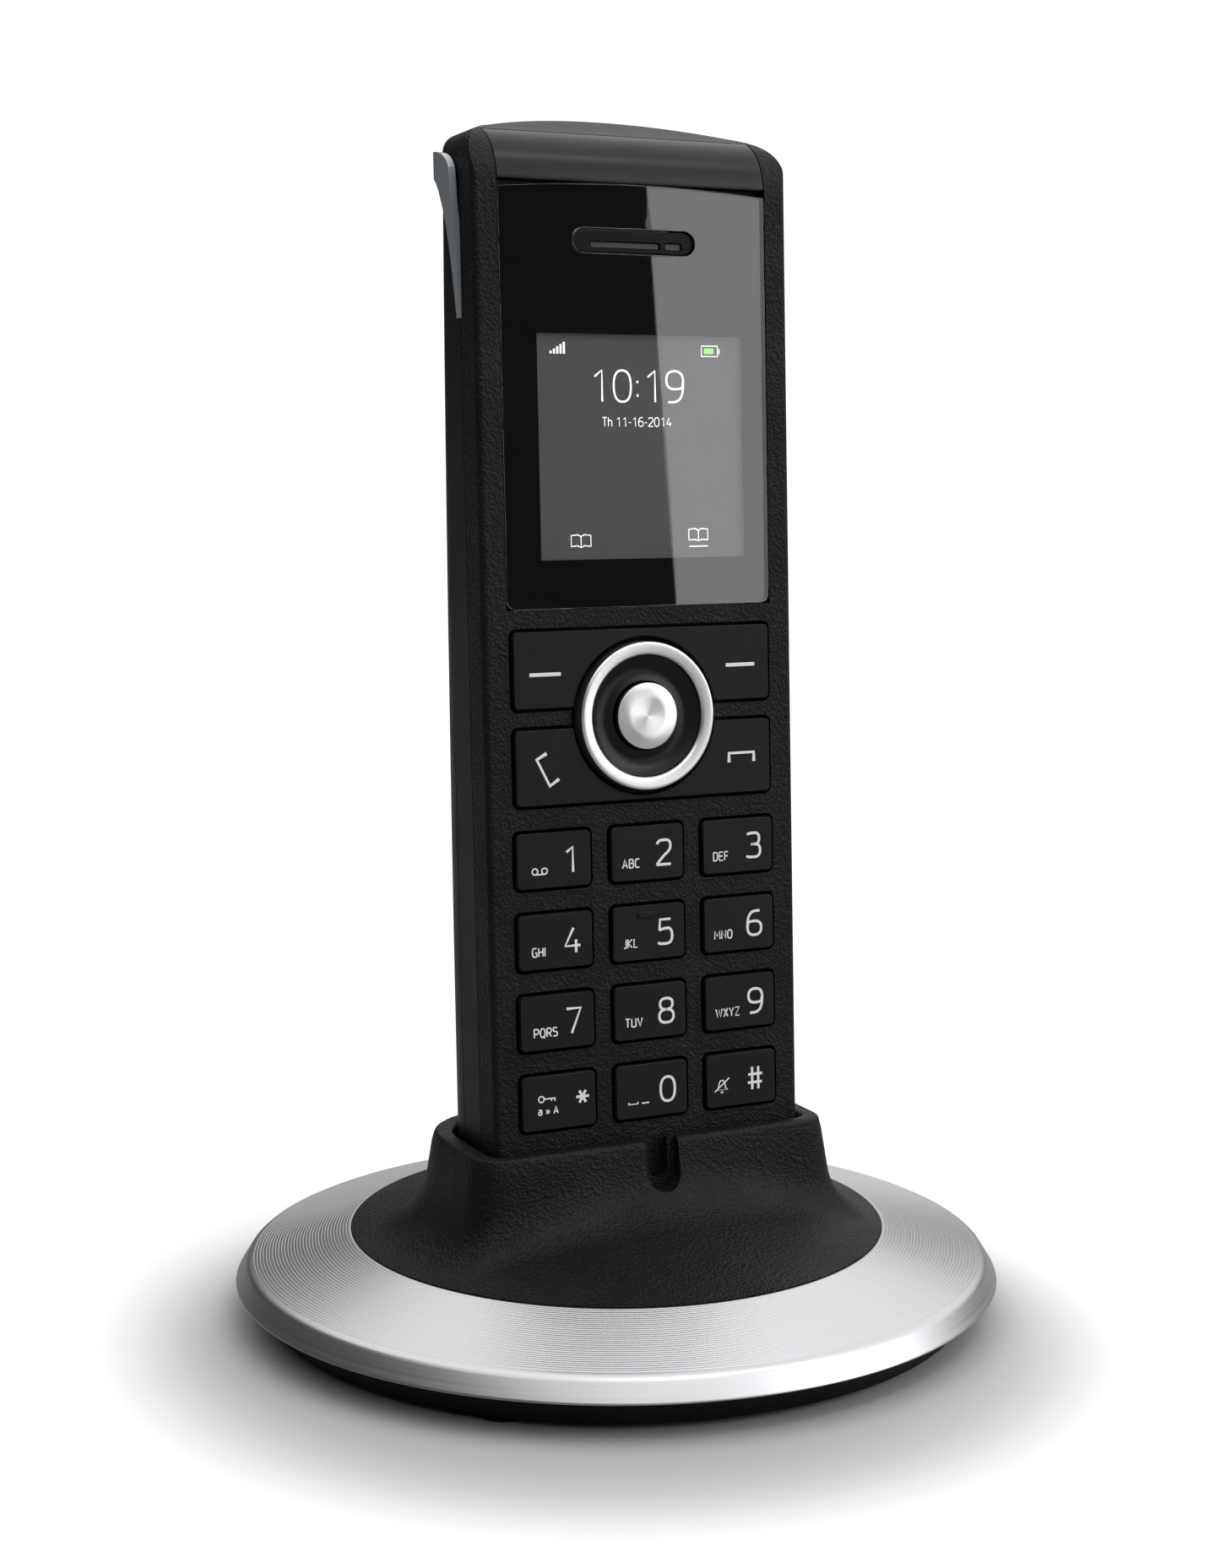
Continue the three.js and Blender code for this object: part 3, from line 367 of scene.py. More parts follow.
def loft(name, loops):
    """A closed skin through loops of equally many points, with both ends filled."""
    count = len(loops[0])
    mesh = bpy.data.meshes.new(name)
    faces = [[row * count + i, row * count + (i + 1) % count, (row + 1) * count + (i + 1) % count,
              (row + 1) * count + i] for row in range(len(loops) - 1) for i in range(count)]
    faces += [list(range(count))[::-1], [(len(loops) - 1) * count + i for i in range(count)]]
    mesh.from_pydata([tuple(p) for loop in loops for p in loop], [], faces)
    obj = bpy.data.objects.new(name, mesh)
    bpy.context.collection.objects.link(obj)
    return clean(obj)


def cup_outside(start, steps=14):
    """Points down the outside of the cup, straight away from the axis: a steep wall, then an arc that
    sweeps out until it lies on the cone, and the cone to its edge."""
    end = start.normalized() * CONE_EDGE[0]
    run = (end - start).length
    wall, cone = math.atan(CUP_DRAFT), math.atan(CONE_SLOPE)
    meet = (CUP_RIM - cone_height(start.length)) / (CUP_DRAFT - CONE_SLOPE)
    radius = min(CUP_SWEEP, 1.3 * (run - meet))
    arc_start = meet - radius * math.tan((wall - cone) / 2) * math.cos(wall)
    centre = (arc_start + radius * math.sin(wall),
              CUP_RIM - CUP_DRAFT * arc_start + radius * math.cos(wall))
    profile = [(arc_start * t, CUP_RIM - CUP_DRAFT * arc_start * t) for t in (0.25, 0.5, 0.75)]
    profile += arc(centre, radius, 270 - math.degrees(wall), 270 - math.degrees(cone), steps)
    foot, height = profile[-1]
    profile += [(foot + (run - foot) * t, height + (CONE_EDGE[1] - height) * t) for t in (0.33, 0.66, 1)]
    return [tuple(start.lerp(end, distance / run)) + (z,) for distance, z in profile]


def cup_loops(count=220):
    """Loops from the floor of the pocket up its wall, over the rim and down to the ring."""
    face_y = HANDSET_FOOT.y + (CUP_RIM - HANDSET_FOOT.z) * math.tan(LEAN)
    outer = [Vector((p.x, p.y + face_y)) for p in spaced(handset_section(3.45, 3.1, 3.8, CUP_BACK), count)]
    pocket = [Vector((p.x, p.y + face_y)) for p in spaced(handset_section(0.6, 0.7, 1.4, CUP_BACK), count)]
    inner = nearest_order(pocket, outer)
    loops = []
    for z in (12.0, 20.0, CUP_RIM - 0.7):
        shift = (z - CUP_RIM) * math.tan(LEAN)
        loops.append([(p.x, p.y + shift, z) for p in inner])
    for turn in (30, 60, 90):
        out, drop = 0.7 * (1 - math.cos(math.radians(turn))), 0.7 * (1 - math.sin(math.radians(turn)))
        loops.append([(*(i + (o - i).normalized() * out), CUP_RIM - drop) for i, o in zip(inner, outer)])
    for back, drop in ((0.8, 0.0), (0.5, 0.05), (0.22, 0.2), (0.05, 0.5)):
        loops.append([(*(o + (i - o).normalized() * back), CUP_RIM - drop) for i, o in zip(inner, outer)])
    loops += [list(loop) for loop in zip(*[cup_outside(o) for o in outer])]
    for radius, z in ((CONE_EDGE[0], 10.6), (CONE_EDGE[0] - 1, 10.4)):
        loops.append([tuple(o.normalized() * radius) + (z,) for o in outer])
    return loops


def nearest_order(points, guides):
    """For each guide point, the point of the closed line nearest to it."""
    ring = points + points[:1]
    result = []
    for guide in guides:
        best = None
        for a, b in zip(ring, ring[1:]):
            step = b - a
            t = min(1.0, max(0.0, (guide - a).dot(step) / max(step.length_squared, 1e-9)))
            at = a + step * t
            if best is None or (guide - at).length < (guide - best).length:
                best = at
        result.append(best)
    return result


def prism(name, outline, axis, low, high):
    """An outline filled and extruded: drawn (x, z) along 'y', (y, z) along 'x' or (x, y) along 'z'."""
    corner = {"x": lambda a, b: (low, a, b), "y": lambda a, b: (a, low, b),
              "z": lambda a, b: (a, b, low)}[axis]
    obj = wire(name, [corner(a, b) for a, b in outline], closed=True)
    bpy.ops.object.mode_set(mode="EDIT")
    bpy.ops.mesh.select_all(action="SELECT")
    bpy.ops.mesh.edge_face_add()
    travel = Vector([high - low if letter == axis else 0 for letter in "xyz"])
    bpy.ops.mesh.extrude_region_move(TRANSFORM_OT_translate={"value": travel})
    bpy.ops.object.mode_set(mode="OBJECT")
    return clean(obj)


def boolean(target, operation, *cutters):
    """Joins, cuts or keeps the common part, and puts the cutters away."""
    for cutter in cutters:
        activate(target)
        modifier = target.modifiers.new(operation, "BOOLEAN")
        modifier.operation = operation
        modifier.solver = "EXACT"
        modifier.object = cutter
        bpy.ops.object.modifier_apply(modifier=modifier.name)
        bpy.data.objects.remove(cutter, do_unlink=True)
    return target


def rounded(x, z, width, height, radius, steps=6):
    """Outline of a rounded rectangle centred on (x, z)."""
    right, top = x + width / 2 - radius, z + height / 2 - radius
    left, bottom = x - width / 2 + radius, z - height / 2 + radius
    return (arc((right, bottom), radius, 270, 360, steps) + arc((right, top), radius, 0, 90, steps)
            + arc((left, top), radius, 90, 180, steps) + arc((left, bottom), radius, 180, 270, steps))


def soften(obj, width, segments=2, degrees=35):
    """Takes the sharpness off the edges with a small rounding, as any mould does."""
    activate(obj)
    modifier = obj.modifiers.new("soften", "BEVEL")
    modifier.width = width
    modifier.segments = segments
    modifier.limit_method = "ANGLE"
    modifier.angle_limit = math.radians(degrees)
    modifier.use_clamp_overlap = True
    modifier.harden_normals = False
    bpy.ops.object.modifier_apply(modifier=modifier.name)
    return obj


# Matt charcoal, flecked by its grain, with only soft broad highlights on the curves.
leather_abs = moulded_plastic("leather_grain_abs", "040405", "1b1b1f", 0.5, 0.42, 0.14, 0.13)


def upright_to_cradle(obj):
    """From the handset's upright bench to where it stands, still in millimetres."""
    obj.data.transform(Matrix.Scale(1 / MM, 4) @ handset_pose)
    return obj


housing = loft("cradle_cup", cup_loops())
slot_cutter = upright_to_cradle(prism("mic_slot", rounded(0, 9.7, 3.0, 10.2, 1.49), "y", -10, 3))
bevel_cutter = upright_to_cradle(prism("mic_slot_recess", rounded(0, 9.0, 5.3, 11.8, 2.64), "y", -10, -1.9))
boolean(housing, "DIFFERENCE", slot_cutter, bevel_cutter)
place(housing, Matrix.Scale(MM, 4))
complete(housing, leather_abs, "cradle", "cradle_housing", degrees=40)

# ---- Handset body ----------------------------------------------------------------------------
# Two ABS shells meet at a seam along the sides. The front one carries a fine leather grain and wraps
# over the top as two rails, with a smooth grey cap between them. The back is smooth and satin.

LENGTH = 152.3
ROLL_START = 141.2  # height at which the front starts to roll back
WINDOW_HALF = 20.35
WINDOW_LOW = 84.8
WINDOW_HIGH = 142.1


def back_scale(height):
    return BACK_LOW - BACK_THINNING * height * height


def front_outline(inset):
    """Front view: square shoulders under a slightly arched top."""
    half, top = HALF_WIDTH - inset, LENGTH - inset
    shoulder_x, drop = 18.6 - inset, 2.16
    right = arc((half - 3.5, inset + 3.5), 3.5, 270, 360, 8)
    right += curve((half, top - 8), (half - 0.1, top - 2.9), (shoulder_x, top - drop), 12)
    over = curve((shoulder_x, top - drop), (0, top + drop), (-shoulder_x, top - drop), 16)[1:]
    left = [(-x, z) for x, z in reversed(right)]
    return right + over[:-1] + left


def curve(start, control, end, steps):
    """Points on a quadratic curve."""
    points = []
    for i in range(steps + 1):
        t = i / steps
        points.append(tuple((1 - t) ** 2 * a + 2 * t * (1 - t) * b + t * t * c
                            for a, b, c in zip(start, control, end)))
    return points


def cubic(start, first, second, end, steps):
    """Points on a cubic curve, without its start."""
    points = []
    for i in range(1, steps + 1):
        t = i / steps
        shares = ((1 - t) ** 3, 3 * t * (1 - t) ** 2, 3 * t * t * (1 - t), t ** 3)
        points.append(tuple(sum(share * value for share, value in zip(shares, values))
                            for values in zip(start, first, second, end)))
    return points


def side_outline(inset):
    """Side view (depth, height): the front rolls back, climbs to a ridge and drops away behind it."""
    points = [(inset, -3), (inset, ROLL_START - inset)]
    points += cubic(points[-1], (inset, 145.2 - inset), (1.6 + inset, 147.9 - inset),
                    (5.2 + inset / 2, 149.5 - inset), 16)
    points += cubic(points[-1], (8.0, 150.8 - inset), (10.8, 152.0 - inset), (12.4, 152.5 - inset), 8)
    points += cubic(points[-1], (13.4, 152.8 - inset), (13.9, 151.6 - inset),
                    (15.4 - inset, 147.6 - inset), 12)
    return points + [(60, 130), (60, -3)]


def handset_form(name, inset, steps=26):
    """The whole outside form of the handset, or the same with every side moved in."""
    section = handset_section(-inset, -inset, 0.9)
    loops = []
    for i in range(steps + 1):
        z = -2 + (LENGTH + 4) * i / steps
        scale = back_scale(max(0.0, z))
        loops.append([(x, y if y < SEAM else SEAM + (y - SEAM) * scale, z) for x, y in section])
    form = loft(name, loops)
    return boolean(form, "INTERSECT", prism(name + "_front", front_outline(inset), "y", -1, 60),
                   prism(name + "_side", side_outline(inset), "x", -60, 60))


def box_piece(name, x0, x1, y0, y1, z0, z1):
    """A block between two corners, for cutting and for plates that are rounded afterwards."""
    deselect()
    bpy.ops.mesh.primitive_cube_add(size=1, location=((x0 + x1) / 2, (y0 + y1) / 2, (z0 + z1) / 2),
                                    scale=(x1 - x0, y1 - y0, z1 - z0))
    obj = bpy.context.active_object
    obj.name = name
    bpy.ops.object.transform_apply(location=True, rotation=True, scale=True)
    return obj


def copy_of(obj, name):
    twin = obj.copy()
    twin.data = obj.data.copy()
    twin.name = name
    bpy.context.collection.objects.link(twin)
    return twin


FIT = 0.12  # gap between neighbouring mouldings
RECESS_HALF = WINDOW_HALF + FIT
KEY_W, KEY_H, KEY_R = 11.2, 7.65, 0.7
KEY_PITCH = 14.4
KEY_ROWS = (50.5, 39.28, 28.05, 16.83)
KEY_GAP = 0.45
BAR_HALF = 19.8
SOFT_BAR = (71.3, 81.8)
CALL_BAR = (58.05, 68.45)
NAV_HEIGHT = 69.67
NAV_HOLE = 11.05
EAR_HEIGHT = 134.47

whole = handset_form("handset_form", 0)
front_shell = boolean(copy_of(whole, "front_casing"), "INTERSECT",
                      box_piece("before_seam", -30, 30, -2, SEAM, -5, 160))
boolean(front_shell, "DIFFERENCE",
        box_piece("inside", -21.7, 21.7, 2.2, 6, 1.8, 141),
        box_piece("window_recess", -RECESS_HALF, RECESS_HALF, -1, 1.5, WINDOW_LOW - FIT, 170),
        box_piece("cap_seat", -RECESS_HALF, RECESS_HALF, -1, 6, WINDOW_HIGH, 170),
        box_piece("display_hole", -17.3, 17.3, -1, 6, 89.2, 124.3),
        box_piece("earpiece_hole", -9.3, 9.3, -1, 6, EAR_HEIGHT - 2.4, EAR_HEIGHT + 2.4))
for row in KEY_ROWS:
    for column in (-1, 0, 1):
        opening = rounded(column * KEY_PITCH, row, KEY_W + 2 * KEY_GAP, KEY_H + 2 * KEY_GAP, 1.1, 5)
        boolean(front_shell, "DIFFERENCE", prism("key_opening", opening, "y", -2, 4))
for low, high in (SOFT_BAR, CALL_BAR):
    opening = rounded(0, (low + high) / 2, 2 * (BAR_HALF + KEY_GAP), high - low + 2 * KEY_GAP, 1.1, 5)
    boolean(front_shell, "DIFFERENCE", prism("bar_opening", opening, "y", -2, 4))
nav_bay = arc((0, NAV_HEIGHT), NAV_HOLE, 0, 356.25, 95)
boolean(front_shell, "DIFFERENCE", prism("nav_opening", nav_bay, "y", -2, 4))
soften(front_shell, 0.16)
place(front_shell, handset_pose)
complete(front_shell, leather_abs, "handset", "front_shell", degrees=40)

# A shade lighter and smoother than the shell round it, so a soft band of light lies along its curve.
cap_grey = moulded_plastic("smooth_grey_abs", "222224", "2b2b2d", 0.26, 0.2, 0.003, 0.13)
cap = boolean(copy_of(whole, "top_casing_cap"), "INTERSECT",
              box_piece("between_rails", -WINDOW_HALF, WINDOW_HALF, -2, SEAM, WINDOW_HIGH + 0.14, 170))
soften(cap, 0.15)
place(cap, handset_pose)
complete(cap, cap_grey, "handset", "top_cap", degrees=40)

# Smoother and a little bluer than the front, so the seam between them shows.
satin_abs = moulded_plastic("satin_black_abs", "08080c", "121217", 0.42, 0.18, 0.004, 0.15)


def door_outline(grow):
    """Side view of the battery door's edge (depth, height)."""
    front, top = 10.6 - grow, 69.9 + grow
    rounding = curve((front, 62.5), (front, top), (17, top), 10)
    return [(front, -4)] + rounding + [(60, top), (60, -4)]


hollow = handset_form("handset_hollow", 1.8, 14)
rear = boolean(copy_of(whole, "rear_casing"), "INTERSECT",
               box_piece("behind_seam", -30, 30, SEAM + FIT, 60, -5, 170))
boolean(rear, "DIFFERENCE", copy_of(hollow, "room_inside"),
        prism("door_seat", door_outline(FIT), "x", -60, 60))
for slot in range(-2, 3):
    opening = rounded(0, 84 + 2.4 * slot, 12, 1.0, 0.49, 4)
    boolean(rear, "DIFFERENCE", prism("sound_slot", opening, "y", 12, 60))
soften(rear, 0.15)
place(rear, handset_pose)
complete(rear, satin_abs, "handset", "rear_shell", degrees=40)

door = boolean(copy_of(whole, "battery_cover"), "INTERSECT", prism("door", door_outline(0), "x", -60, 60))
boolean(door, "DIFFERENCE", copy_of(hollow, "room_inside"))
soften(door, 0.15)
place(door, handset_pose)
complete(door, satin_abs, "battery_door", "battery_door", degrees=40)
for spare in (whole, hollow):
    bpy.data.objects.remove(spare, do_unlink=True)

# ---- Window, display and earpiece ------------------------------------------------------------
# A polished acrylic window covers the upper front. Its back is printed black except over the display,
# which sits a little deeper. The earpiece slot is cut through it and has a fine black insert.

LCD = (-14.8, 16.9, 91.4, 122.0)

# The acrylic mirrors the softbox with a sharp edge over a print so black that nothing shows in it.
acrylic, _ = new_material("polished_acrylic", {
    "Base Color": linear("ffffff"), "Roughness": 0.01, "IOR": 1.49, "Transmission Weight": 1.0})
black_print, _ = new_material("black_screen_print", {
    "Base Color": linear("030303"), "Roughness": 0.9, "Specular IOR Level": 0.0})


def window_outline(inset):
    """Rounded lower corners under a slightly arched top edge."""
    half, low, high = WINDOW_HALF - inset, WINDOW_LOW + inset, WINDOW_HIGH - inset
    over = curve((half, high - 0.9), (0, high + 0.9), (-half, high - 0.9), 24)
    right_corner = arc((half - 1.3, low + 1.3), 1.3, 270, 360, 6)
    return right_corner + over + arc((-half + 1.3, low + 1.3), 1.3, 180, 270, 6)


ear_slot = rounded(0, EAR_HEIGHT, 18.6, 3.35, 1.67, 10)
pane = prism("window_pane", window_outline(0), "y", 0, 0.9)
boolean(pane, "DIFFERENCE", prism("ear_slot", ear_slot, "y", -2, 4))
soften(pane, 0.1)
place(pane, handset_pose)
complete(pane, acrylic, "handset", "display_window")
pane.visible_shadow = False  # clear acrylic lets the light through to the display

mask = prism("window_print", window_outline(0.05), "y", 0.94, 1.2)
boolean(mask, "DIFFERENCE", prism("ear_slot", ear_slot, "y", -2, 4),
        box_piece("lcd_hole", LCD[0], LCD[1], -2, 4, LCD[2], LCD[3]))
place(mask, handset_pose)
complete(mask, black_print, "handset")

# An even grey glow behind crisp white and green marks.
screen_glass, _ = new_material("lcd_glass", {
    "Base Color": linear("3f3f40"), "Roughness": 0.5, "Specular IOR Level": 0.1,
    "Emission Color": linear("4a4a4b"), "Emission Strength": 0.28})
panel = box_piece("lcd_panel", -17, 17.25, 1.55, 3.2, 89.5, 124.0)
soften(panel, 0.1)
place(panel, handset_pose)
complete(panel, screen_glass, "handset", "display_module")

lit_white, _ = new_material("lit_lcd_white", {
    "Base Color": linear("e8e8e8"), "Emission Color": linear("ffffff"), "Emission Strength": 0.75})
lit_green, _ = new_material("lit_lcd_green", {
    "Base Color": linear("6cc04a"), "Emission Color": linear("86d060"), "Emission Strength": 0.7})


# A plain one-stroke alphabet: each sign is as wide as its number, one high, and drawn with lines that
# are straight (s), rounded at every turn (r), or rounded and closed (o).
SIGNS = {
    "0": (0.62, "o 0,0 0.62,0 0.62,1 0,1"),
    "1": (0.62, "s 0.14,0.8 0.4,1 0.4,0"),
    "2": (0.62, "r 0.02,0.84 0.12,1 0.6,1 0.62,0.6 0.3,0.35 0,0;s 0,0 0.62,0"),
    "3": (0.62, "r 0.04,0.95 0.16,1 0.58,1 0.58,0.53 0.2,0.53;r 0.2,0.53 0.62,0.53 0.62,0 0.1,0 0,0.06"),
    "4": (0.62, "s 0.36,1 0,0.28 0.64,0.28;s 0.46,0.52 0.46,0"),
    "5": (0.62, "s 0.56,1 0.1,1 0.07,0.56;r 0.07,0.56 0.2,0.62 0.62,0.64 0.62,0 0.1,0 0,0.06"),
    "6": (0.62, "r 0.56,1 0.2,1 0,0.7 0,0 0.62,0 0.62,0.58 0.02,0.58 0.02,0.36"),
    "7": (0.62, "s 0,1 0.6,1 0.2,0"),
    "8": (0.62, "o 0.04,0.54 0.58,0.54 0.58,1 0.04,1;o 0,0 0.62,0 0.62,0.54 0,0.54"),
    "9": (0.62, "r 0.06,0 0.42,0 0.62,0.3 0.62,1 0,1 0,0.42 0.6,0.42 0.6,0.64"),
    ":": (0.08, "s 0.04,0.16 0.04,0.24;s 0.04,0.6 0.04,0.68"),
    "-": (0.3, "s 0,0.42 0.3,0.42"),
    " ": (0.2, ""),
    "A": (0.64, "s 0,0 0.32,1 0.64,0;s 0.12,0.32 0.52,0.32"),
    "B": (0.54, "s 0,0 0,1;r 0,1 0.5,1 0.5,0.54 0,0.54;r 0,0.54 0.56,0.54 0.56,0 0,0"),
    "C": (0.54, "r 0.54,0.96 0.4,1 0,1 0,0 0.4,0 0.54,0.04"),
    "D": (0.56, "s 0,0 0,1;r 0,1 0.56,1 0.56,0 0,0"),
    "E": (0.46, "s 0.46,1 0,1 0,0 0.46,0;s 0,0.52 0.4,0.52"),
    "F": (0.46, "s 0.46,1 0,1 0,0;s 0,0.5 0.4,0.5"),
    "G": (0.56, "r 0.54,0.96 0.4,1 0,1 0,0 0.5,0 0.56,0.1;s 0.56,0.04 0.56,0.46 0.34,0.46"),
    "H": (0.54, "s 0,0 0,1;s 0.54,0 0.54,1;s 0,0.52 0.54,0.52"),
    "I": (0.02, "s 0,0 0,1"),
    "J": (0.28, "r 0.28,1 0.28,0.3 0.28,0 0,0"),
    "K": (0.54, "s 0,0 0,1;s 0.5,1 0.02,0.48 0.54,0"),
    "L": (0.42, "s 0,1 0,0 0.42,0"),
    "M": (0.7, "s 0,0 0,1 0.35,0.35 0.7,1 0.7,0"),
    "N": (0.56, "s 0,0 0,1 0.56,0 0.56,1"),
    "O": (0.6, "o 0,0 0.6,0 0.6,1 0,1"),
    "P": (0.54, "s 0,0 0,1;r 0,1 0.56,1 0.56,0.42 0,0.42"),
    "Q": (0.6, "o 0,0 0.6,0 0.6,1 0,1;s 0.34,0.1 0.56,-0.14"),
    "R": (0.54, "s 0,0 0,1;r 0,1 0.54,1 0.54,0.44 0,0.44;s 0.28,0.44 0.54,0"),
    "S": (0.52, "r 0.5,0.94 0.36,1 0,1 0,0.56 0.52,0.5 0.52,0 0.14,0 0,0.06"),
    "T": (0.56, "s 0,1 0.56,1;s 0.28,1 0.28,0"),
    "U": (0.56, "r 0,1 0,0.3 0,0 0.56,0 0.56,0.3 0.56,1"),
    "V": (0.6, "s 0,1 0.3,0 0.6,1"),
    "W": (0.84, "s 0,1 0.2,0 0.42,0.9 0.64,0 0.84,1"),
    "X": (0.52, "s 0,0 0.52,1;s 0,1 0.52,0"),
    "Y": (0.56, "s 0,1 0.28,0.45 0.56,1;s 0.28,0.45 0.28,0"),
    "Z": (0.52, "s 0,1 0.52,1 0,0 0.52,0"),
    "a": (0.46, "r 0.02,0.62 0.1,0.68 0.46,0.68 0.46,0.4 0.46,0;r 0.46,0.4 0,0.42 0,0 0.4,0 0.46,0.1"),
    "h": (0.46, "s 0,0 0,1;r 0,0.5 0.08,0.68 0.46,0.68 0.46,0.3 0.46,0"),
    "\u00bb": (0.46, "s 0,0.08 0.2,0.34 0,0.6;s 0.26,0.08 0.46,0.34 0.26,0.6"),
}


def turned_corners(points, closed, rounds=3):
    """Cuts each corner of a line three times over, which rounds it."""
    for _ in range(rounds):
        after = points[1:] + points[:1] if closed else points[1:]
        cut = [((a[0] * (1 - t) + b[0] * t), (a[1] * (1 - t) + b[1] * t))
               for a, b in zip(points, after) for t in (0.25, 0.75)]
        points = cut if closed else [points[0]] + cut[1:-1] + [points[-1]]
    return points


def lettering(text, x, z, height, wide=1.0, gap=0.25, align=0.0):
    """Lines that write a text from (x, z), its baseline's left end, or its middle with align 0.5."""
    total = sum(SIGNS[sign][0] * wide + gap for sign in text) - gap
    pen = x - align * total * height
    lines = []
    for sign in text:
        width, strokes = SIGNS[sign]
        for stroke in filter(None, strokes.split(";")):
            kind, *pairs = stroke.split(" ")
            points = [tuple(float(n) for n in pair.split(",")) for pair in pairs]
            if kind != "s":
                points = turned_corners(points, kind == "o")
            lines.append(([(pen + a * wide * height, z + b * height) for a, b in points], kind == "o"))
        pen += (width * wide + gap) * height
    return lines


def printed(name, lines, width, depth):
    """Printed lines of even width through (x, z) points, lying a hundredth of a millimetre proud."""
    data = bpy.data.curves.new(name, "CURVE")
    data.dimensions = "3D"
    data.bevel_depth = width / 2
    data.bevel_resolution = 0
    data.use_fill_caps = True
    for points, closed in lines:
        spline = data.splines.new("POLY")
        spline.points.add(len(points) - 1)
        for point, (x, z) in zip(spline.points, points):
            point.co = (x, 0, z, 1)
        spline.use_cyclic_u = closed
    obj = bpy.data.objects.new(name, data)
    bpy.context.collection.objects.link(obj)
    activate(obj)
    bpy.ops.object.convert(target="MESH")
    obj = bpy.context.active_object
    obj.data.transform(Matrix.Translation((0, depth, 0)) @ Matrix.Diagonal((1, 0.05, 1, 1)))
    return obj


def joined(name, *parts):
    deselect()
    for part in parts:
        part.select_set(True)
    bpy.context.view_layer.objects.active = parts[0]
    bpy.ops.object.join()
    obj = bpy.context.active_object
    obj.name = name
    return obj


def book(x, z):
    """The open book drawn above a soft key."""
    page = [(0, -0.8), (-0.5, -0.55), (-1.5, -0.65), (-1.5, 0.85), (-0.5, 0.95), (0, 0.7)]
    return [([(x + side * a, z + b) for a, b in page], True) for side in (-1, 1)]


SCREEN_DEPTH = 1.5
signal = [([(-12.5 + 0.5 * bar, 119.3), (-12.5 + 0.5 * bar, 119.65 + 0.3 * bar)], False)
          for bar in range(5)]
icons = book(-8.5, 93.85) + book(9.75, 94.45) + [([(8.3, 92.95), (11.2, 92.95)], False)]
icons += [([(10.7, 119.25), (13.25, 119.25), (13.25, 120.7), (10.7, 120.7)], True),
          ([(13.5, 119.65), (13.5, 120.3)], False)]
clock = lettering("10:19", 0.6, 112.9, 4.25, gap=0.2, align=0.5)
date = lettering("Th 11-16-2014", 0.45, 109.55, 1.2, wide=0.95, gap=0.2, align=0.5)
marks = [printed("clock", clock, 0.27, SCREEN_DEPTH), printed("date", date, 0.12, SCREEN_DEPTH),
         printed("signal", signal, 0.3, SCREEN_DEPTH), printed("icons", icons, 0.15, SCREEN_DEPTH)]
screen_marks = joined("lcd_marks", *marks)
place(screen_marks, handset_pose)
complete(screen_marks, lit_white, "handset")
charge_level = printed("lcd_charge_level", [([(11.1, 119.98), (12.6, 119.98)], False)], 0.8, SCREEN_DEPTH)
place(charge_level, handset_pose)
complete(charge_level, lit_green, "handset")

insert = prism("earpiece_insert", rounded(0, EAR_HEIGHT, 18.2, 2.95, 1.47, 10), "y", 0.5, 1.4)
boolean(insert, "DIFFERENCE",
        prism("sound", rounded(-1.1, EAR_HEIGHT - 0.45, 10.6, 0.9, 0.3, 4), "y", -1, 1.0),
        prism("sight", rounded(6.25, EAR_HEIGHT - 0.45, 2.5, 1.0, 0.3, 4), "y", -1, 1.0))
soften(insert, 0.1)
place(insert, handset_pose)
complete(insert, cover_abs, "handset", "earpiece_trim")
# Woven gauze: lighter than the insert, with no shine.
mesh_grey = moulded_plastic("acoustic_mesh", "3c3c3e", "4a4a4c", 0.6, 0.12, 0.02)
gauze = joined("earpiece_gauze",
               prism("gauze", rounded(-1.1, EAR_HEIGHT - 0.45, 10.4, 0.7, 0.25, 4), "y", 0.85, 0.98),
               prism("lens", rounded(6.25, EAR_HEIGHT - 0.45, 2.3, 0.8, 0.25, 4), "y", 0.8, 0.98))
place(gauze, handset_pose)
complete(gauze, mesh_grey, "handset")

# ---- Keys ------------------------------------------------------------------------------------
# Twelve satin ABS keys stand half a millimetre proud of the casing. Their figures, letters and signs
# are printed in off-white, and the middle key has a raised bar to find it by touch.

KEY_TOP = -0.5
PRINT_DEPTH = KEY_TOP - 0.012
# Smooth and even beside the grained casing; the print on it is matt and nearly white.
key_abs = moulded_plastic("satin_key_abs", "0b0b0c", "151516", 0.5, 0.2, 0.006, 0.16)
print_white, _ = new_material("off_white_key_print", {"Base Color": linear("dcdcdc"), "Roughness": 0.5})
LEGENDS = {"1": ("1", ""), "2": ("2", "ABC"), "3": ("3", "DEF"), "4": ("4", "GHI"), "5": ("5", "JKL"),
           "6": ("6", "MNO"), "7": ("7", "PQRS"), "8": ("8", "TUV"), "9": ("9", "WXYZ"),
           "star": ("", ""), "0": ("0", ""), "hash": ("", "")}
DIGIT_HEIGHT = 3.45
LETTER_HEIGHT = 1.18
DIGIT_LINE = 0.38
LETTER_LINE = 0.2


def circle(x, z, radius, steps=16):
    return arc((x, z), radius, 0, 360 - 360 / steps, steps - 1)


def spokes(x, z, radius):
    """Three crossed lines, the star sign."""
    arms = [(radius * math.cos(t), radius * math.sin(t)) for t in (0, math.pi / 3, 2 * math.pi / 3)]
    return [([(x - a, z - b), (x + a, z + b)], False) for a, b in arms]


